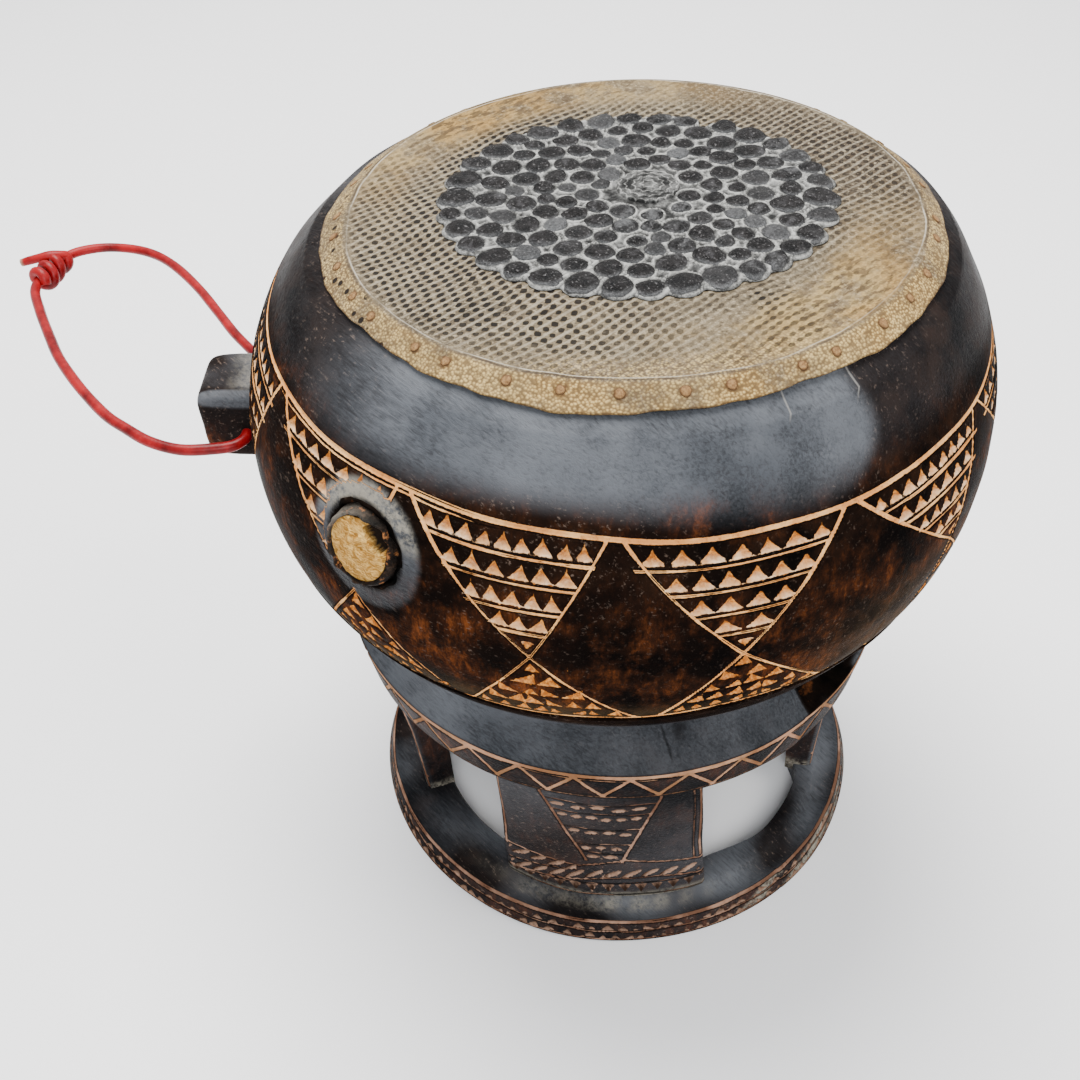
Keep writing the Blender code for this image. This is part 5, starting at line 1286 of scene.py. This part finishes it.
def make_skin(finish):
    """The skin: flat over the rim, bent down outside it in a band with a wavy cut edge, and its underside.

    The upper face is a profile of radius and height turned round Z, with the band's last rows pushed along it
    by a sum of sines, and a slight crumple over the top.
    """
    angle = np.linspace(0, TAU, 720, endpoint=False)
    out, up, bend = FOLD_OUT, FOLD_UP, 2.4
    flat = [(r, SKIN_TOP_Z) for r in np.linspace(0, RIDGE_R - bend, 60)]
    ridge = [(RIDGE_R - 0.7 * bend, SKIN_TOP_Z + 0.12), (RIDGE_R - 0.3 * bend, SKIN_TOP_Z - 0.05)]
    ridge += [(RIDGE_R + s * bend * up, SKIN_TOP_Z - (s + 0.1) * bend * out) for s in (0.2, 0.6)]
    fall = SKIN_TOP_Z - SKIN_EDGE_Z
    band = [(RIDGE_R + (SKIN_EDGE_R - RIDGE_R) * s, SKIN_TOP_Z - fall * s) for s in np.linspace(0.25, 1, 12)]
    profile = np.array(flat + ridge + band)
    r, z = (profile[:, i, None] + 0 * angle for i in (0, 1))
    share = np.clip((r - RIDGE_R) / (SKIN_EDGE_R - RIDGE_R), 0, 1)
    wave = 0.9 * np.sin(5 * angle) + 0.45 * np.sin(13 * angle + 1)
    wave = wave + 0.25 * np.sin(31 * angle) + 0.15 * np.sin(57 * angle)
    r, z = r + wave * up * share**2, z - wave * out * share**2
    x, y = r * np.cos(angle), r * np.sin(angle)
    crumple = 0.10 * waves(x / 9, y / 9, 91, 10) + 0.05 * waves(x / 3, y / 3, 92, 10)
    z = z + crumple * (r < RIDGE_R - 3) + 0.10 * waves(x / 3, y / 3, 93, 10) * share
    top = np.stack((x, y, z), -1)
    rim = (SKIN_EDGE_R - 1.2 * out, SKIN_EDGE_Z - 1.2 * up)
    under = [rim, (RIDGE_R - 0.9, SKIN_TOP_Z - 1.3), (RIDGE_R - 4, SKIN_TOP_Z - 1.2), (0, SKIN_TOP_Z - 1.2)]
    below = []
    for radius, height in under:
        push = wave if radius > RIDGE_R else 0 * wave
        below.append(polar(radius + push * up, angle, height - push * out))
    pad = ((0, len(below)), (0, 0))
    flank = camera_side(angle)
    unit = r / RIDGE_R
    away, right = -unit * np.cos(np.radians(flank)), unit * np.sin(np.radians(flank))
    lobe = np.exp(-(((flank - 50) / 30) ** 2)) * between(unit, 0.68, 0.80)
    left_lobe = np.exp(-(((flank + 135) / 34) ** 2)) * between(unit, 0.72, 0.86)
    back_lobe = 0.55 * np.exp(-(((np.abs(flank) - 180) / 22) ** 2)) * between(unit, 0.75, 0.9)
    cream = np.clip(lobe + left_lobe + back_lobe, 0, 1) * between(unit, 1.005, 0.97)
    inner = between(unit, 0.992, 0.95)
    net = inner * (1 - 0.85 * cream) * (0.8 + 0.2 * between(right, 0.45, 0.05)) * between(away, 1.0, 0.6)
    near_right = np.exp(-(((flank - 38) / 28) ** 2))
    net = net * (1 - 0.8 * near_right)
    front_edge = np.exp(-(((flank - 8) / 30) ** 2)) * between(unit, 0.84, 0.93)
    net = net * (1 - 0.75 * front_edge)
    streak = inner * near_right * (1 - 0.25 * cream)
    streak = streak + 0.3 * inner * between(away, 0.3, 0.6) * between(right, 0.3, -0.1)
    brown = inner * between(right, 0.05, 0.6) * between(away, -0.35, 0.25)
    beads = np.maximum(between(r, RIDGE_R - 1.5, RIDGE_R + 0.5), 0.7 * front_edge + 0.2 * cream)
    on_band = between(r, RIDGE_R - 0.5, RIDGE_R + 1.0)
    cream = np.maximum(cream, on_band * (0.35 + 0.65 * between(flank, -75, -35) * between(flank, 100, 40)))
    holes = on_band * between(flank, -28, -48) * between(flank, -130, -80)
    nearest = np.full(r.shape, 99.0)
    for spot in peg_places()[0]:
        nearest = np.minimum(nearest, np.linalg.norm(top - spot, axis=-1))
    ring = 0.75 * between(nearest, 2.9, 2.2) + 0.6 * between(share, 0.93, 1.0)
    layers = {"net": net, "streak": streak, "beads": beads, "cream": cream, "brown": brown, "holes": holes}
    layers |= {"peg": ring, "reach": r}
    layers = {name: np.pad(np.broadcast_to(values, r.shape), pad) for name, values in layers.items()}
    grid = np.concatenate((top, np.stack(below)))
    skin = make_piece("skin", grid, finish, layers=layers, flip=True)
    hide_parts("drum_skin")


PATCH_ACROSS, PATCH_DEEP, PATCH_AT = 81, 72, (2, 6)
# Each ring of pellets: its radius, how many it has and theirs
PELLET_RINGS = (
    (20.5, 10, 4.8), (31.5, 16, 5.0), (42.5, 21, 5.3), (53.5, 27, 5.5), (64.5, 31, 5.9), (75.3, 34, 6.5),
)
ROSETTE_AT, ROSETTE_R = (4.5, 7.5), 13.5


def pellet_places():
    """The pellets' middles and radii in mm, in rings round the patch's middle, each a little astray.

    They start evenly round their rings and are then pushed apart, a little at a time, until none crowds its
    neighbours, the rosette or the patch's edge.
    """
    draw = np.random.default_rng(12)
    starts, sizes = [], []
    for ring, (reach, count, size) in enumerate(PELLET_RINGS):
        turn = TAU * (np.arange(count) + 0.37 * ring) / count + draw.normal(0, 0.12, count) * TAU / count
        far = reach + draw.normal(0, 0.9, count)
        starts.append(np.stack((far * np.cos(turn), far * np.sin(turn) * PATCH_DEEP / PATCH_ACROSS), -1))
        sizes.append(size * draw.uniform(0.78, 1.18, count))
    place, size = np.concatenate(starts), np.concatenate(sizes)
    wanted = size[:, None] + size[None] + 0.3
    for _ in range(120):
        apart = place[:, None] - place[None]
        gap = np.linalg.norm(apart, axis=-1) + 1e-6
        push = np.clip(wanted - gap, 0, None) / gap * (1 - np.eye(len(place)))
        place = place + 0.22 * (apart * push[..., None]).sum(1)
        off = place - ROSETTE_AT
        gap = np.linalg.norm(off, axis=1)
        place = place + off / gap[:, None] * np.clip(ROSETTE_R + size - gap, 0, None)[:, None] * 0.5
        far = np.hypot(place[:, 0] / PATCH_ACROSS, place[:, 1] / PATCH_DEEP)
        room = 1 - (size - 0.8) / 77
        place = place * np.where(far > room, room / far, 1)[:, None]
    return np.concatenate((place, size[:, None]), 1)


def on_patch(x, y, high):
    """Points given in mm across and away from the patch's middle, laid on the skin at a height above it."""
    a, b = PATCH_AT[0] + x, PATCH_AT[1] + y
    x, y = a * ACROSS[0] + b * AWAY[0], a * ACROSS[1] + b * AWAY[1]
    return np.stack(np.broadcast_arrays(x, y, SKIN_TOP_Z + GAP + high), -1)


def make_patch(wax, mortar):
    """The tuning patch: a low bed of pale mortar with a raised lip round each pellet, and the pellets."""
    places = pellet_places()
    turn = np.linspace(0, TAU, 420, endpoint=False)
    edge = np.full(len(turn), 66.0)
    for x, y, size in places:
        along, across = x * np.cos(turn) + y * np.sin(turn), np.abs(y * np.cos(turn) - x * np.sin(turn))
        wide = size + 1.0
        far = along + np.sqrt(np.clip(wide**2 - across**2, 0, None))
        edge = np.maximum(edge, np.where(across < wide, far, 0))
    edge = (edge + np.roll(edge, 1) + np.roll(edge, -1)) / 3
    share = np.concatenate((np.linspace(0, 0.975, 90), (0.988, 1.0)))[:, None]
    x, y = share * edge * np.cos(turn), share * edge * np.sin(turn)
    near = np.full(x.shape, 99.0)
    for px, py, size in places:
        near = np.minimum(near, np.hypot(x - px, y - py) - size)
    lip = np.exp(-(((near - 0.4) / 0.5) ** 2))
    high = (1.3 + 0.8 * lip + 0.2 * waves(x / 1.3, y / 1.3, 101, 12)) * between(share, 1.0, 0.97) + 0.2
    foot, core = on_patch(x[-1:], y[-1:], 0 * high[-1:]), on_patch(0 * x[-1:], 0 * y[-1:], 0 * high[-1:])
    grid = np.concatenate((on_patch(x, y, high), foot, core))
    layers = {"crest": np.pad(lip, ((0, 2), (0, 0)))}
    make_piece("wax_mortar", grid, mortar, layers=layers, flip=True)
    draw = np.random.default_rng(5)
    count = len(places)
    spin = draw.uniform(0, TAU, (count, 1, 1))
    long, crown = draw.uniform(1.0, 1.17, (count, 1, 1)), draw.uniform(2.6, 3.9, (count, 1, 1))
    powdered = 0.75 * draw.uniform(0, 1, (count, 1, 1)) ** 9
    rows = np.array((0, 0.28, 0.55, 0.82, 1.08, 1.32, np.pi / 2))[None, :, None]
    u = np.linspace(0, TAU, 16, endpoint=False)[None, None]
    lump = 1 + 0.05 * np.sin(2 * u + spin) + 0.045 * np.sin(3 * u + 2.3 * spin) + 0.03 * np.sin(5 * u + spin)
    middle_x, middle_y, size = places.T[..., None, None]
    reach = np.sin(rows) * lump * size
    a, b = reach * long * np.cos(u), reach / long * np.sin(u)
    x = middle_x + a * np.cos(spin) - b * np.sin(spin)
    y = middle_y + a * np.sin(spin) + b * np.cos(spin)
    dimple = 0.28 * np.sin(4 * a / size + 3 * spin) + 0.22 * np.sin(5 * b / size + spin)
    top = 0.9 + (crown - 0.9) * np.cos(rows) ** 0.8 + dimple * np.cos(rows)
    foot = on_patch(x[:, -1:], y[:, -1:], 0.3 + 0 * x[:, -1:])
    core = on_patch(middle_x + 0 * u, middle_y + 0 * u, 0.3 + 0 * u)
    grid = np.concatenate((on_patch(x, y, top), foot, core), axis=1)
    toward = -(a * np.sin(spin) + b * np.cos(spin)) / size
    rim = between(rows, 1.25, 1.56) + between(rows, 0.75, 1.35) * between(toward, 0.0, 0.8) * 0.75
    rim = np.concatenate((np.clip(rim + powdered, 0, 1) + 0 * x, 0 * x[:, :2] + 1), axis=1)
    pellets = make_piece("wax_pellets", grid, wax, layers={"rim": rim}, flip=True)
    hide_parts("tuning_patch")
    make_rosette(mortar)


def make_rosette(finish):
    """The middle of the patch: a low round cake with rings of small scalloped petals pressed into it."""
    turn = np.linspace(0, TAU, 216, endpoint=False)
    share = np.linspace(0, 1, 44)[:, None]
    petals = np.zeros((44, 216))
    for number, (reach, count) in enumerate(((0.26, 6), (0.50, 11), (0.74, 15), (0.95, 19))):
        bent = reach - 0.085 * np.abs(np.sin(count * turn / 2 + number))
        petals = np.maximum(petals, np.exp(-(((share - bent) / 0.032) ** 2)))
        spokes = 0.7 * np.exp(-((np.sin(count * turn / 2 + number) / 0.28) ** 2))
        spokes = spokes * between(share, reach - 0.16, reach - 0.10) * between(share, reach, reach - 0.04)
        petals = np.maximum(petals, spokes)
    x, y = ROSETTE_AT[0] + ROSETTE_R * share * np.cos(turn), ROSETTE_AT[1] + ROSETTE_R * share * np.sin(turn)
    high = (1.9 + 0.55 * petals + 0.7 * (1 - share**2)) * between(share, 1.0, 0.93) + 0.3
    top, foot = on_patch(x, y, high), on_patch(x[-1:], y[-1:], 0.3 + 0 * x[-1:])
    core = on_patch(ROSETTE_AT[0] + 0 * x[-1:], ROSETTE_AT[1] + 0 * x[-1:], 0.3 + 0 * x[-1:])
    layers = {"crest": np.pad(petals * 0.75 - 0.6 * (1 - petals), ((0, 2), (0, 0)))}
    grid = np.concatenate((top, foot, core))
    make_piece("wax_rosette", grid, finish, layers=layers, flip=True)


def set_stage():
    """A pale floor, an even sky and three soft lamps."""
    mesh = bpy.data.meshes.new("floor")
    corners = [(-6, -6, 0), (6, -6, 0), (6, 6, 0), (-6, 6, 0)]
    mesh.from_pydata(corners, [], [(0, 1, 2, 3)])
    floor = bpy.data.objects.new("floor", mesh)
    f = Finish("pale_floor", Roughness=0.8)
    f.set("Base Color", (0.86, 0.86, 0.87, 1))
    mesh.materials.append(f.material)
    bpy.context.scene.collection.objects.link(floor)
    world = bpy.data.worlds.new("sky")
    world.use_nodes = True
    sky = world.node_tree.nodes["Background"]
    sky.inputs["Color"].default_value = (0.97, 0.98, 1.0, 1)
    sky.inputs["Strength"].default_value = 1.0
    bpy.context.scene.world = world
    lamps = (
        ("high", -0.25, 0.45, 1.7, 1.2, 72, (1.0, 0.985, 0.96)),
        ("front", 0.1, -1.7, 1.4, 1.0, 32, (0.96, 0.98, 1.0)),
        ("right", 1.5, -0.2, 1.2, 0.8, 16, (1.0, 0.97, 0.93)),
    )
    for name, right, away, up, size, power, colour in lamps:
        light = bpy.data.lights.new(name, "AREA")
        light.shape, light.size, light.energy, light.color = "DISK", size, power, colour
        lamp = bpy.data.objects.new(name, light)
        place = Vector(right * ACROSS + away * AWAY + np.array((0, 0, up)))
        lamp.location = place
        lamp.rotation_mode = "QUATERNION"
        lamp.rotation_quaternion = (Vector((0, 0, 0.2)) - place).to_track_quat("-Z", "Y")
        bpy.context.scene.collection.objects.link(lamp)


set_camera()
make_cord(red_cord())
wood = carved_wood()
make_bowl(wood, carved_wood("carved_fields", with_fields=True))
make_neck_and_ring(wood)
make_legs(wood)
make_foot(wood)
make_lug(wood)
make_hole_lining(wood)
make_resonator(collar_wax(), silk_membrane())
make_skin(lizard_skin())
make_pegs(peg_wood())
make_patch(black_wax(), pale_mortar())
set_stage()
bpy.context.view_layer.update()
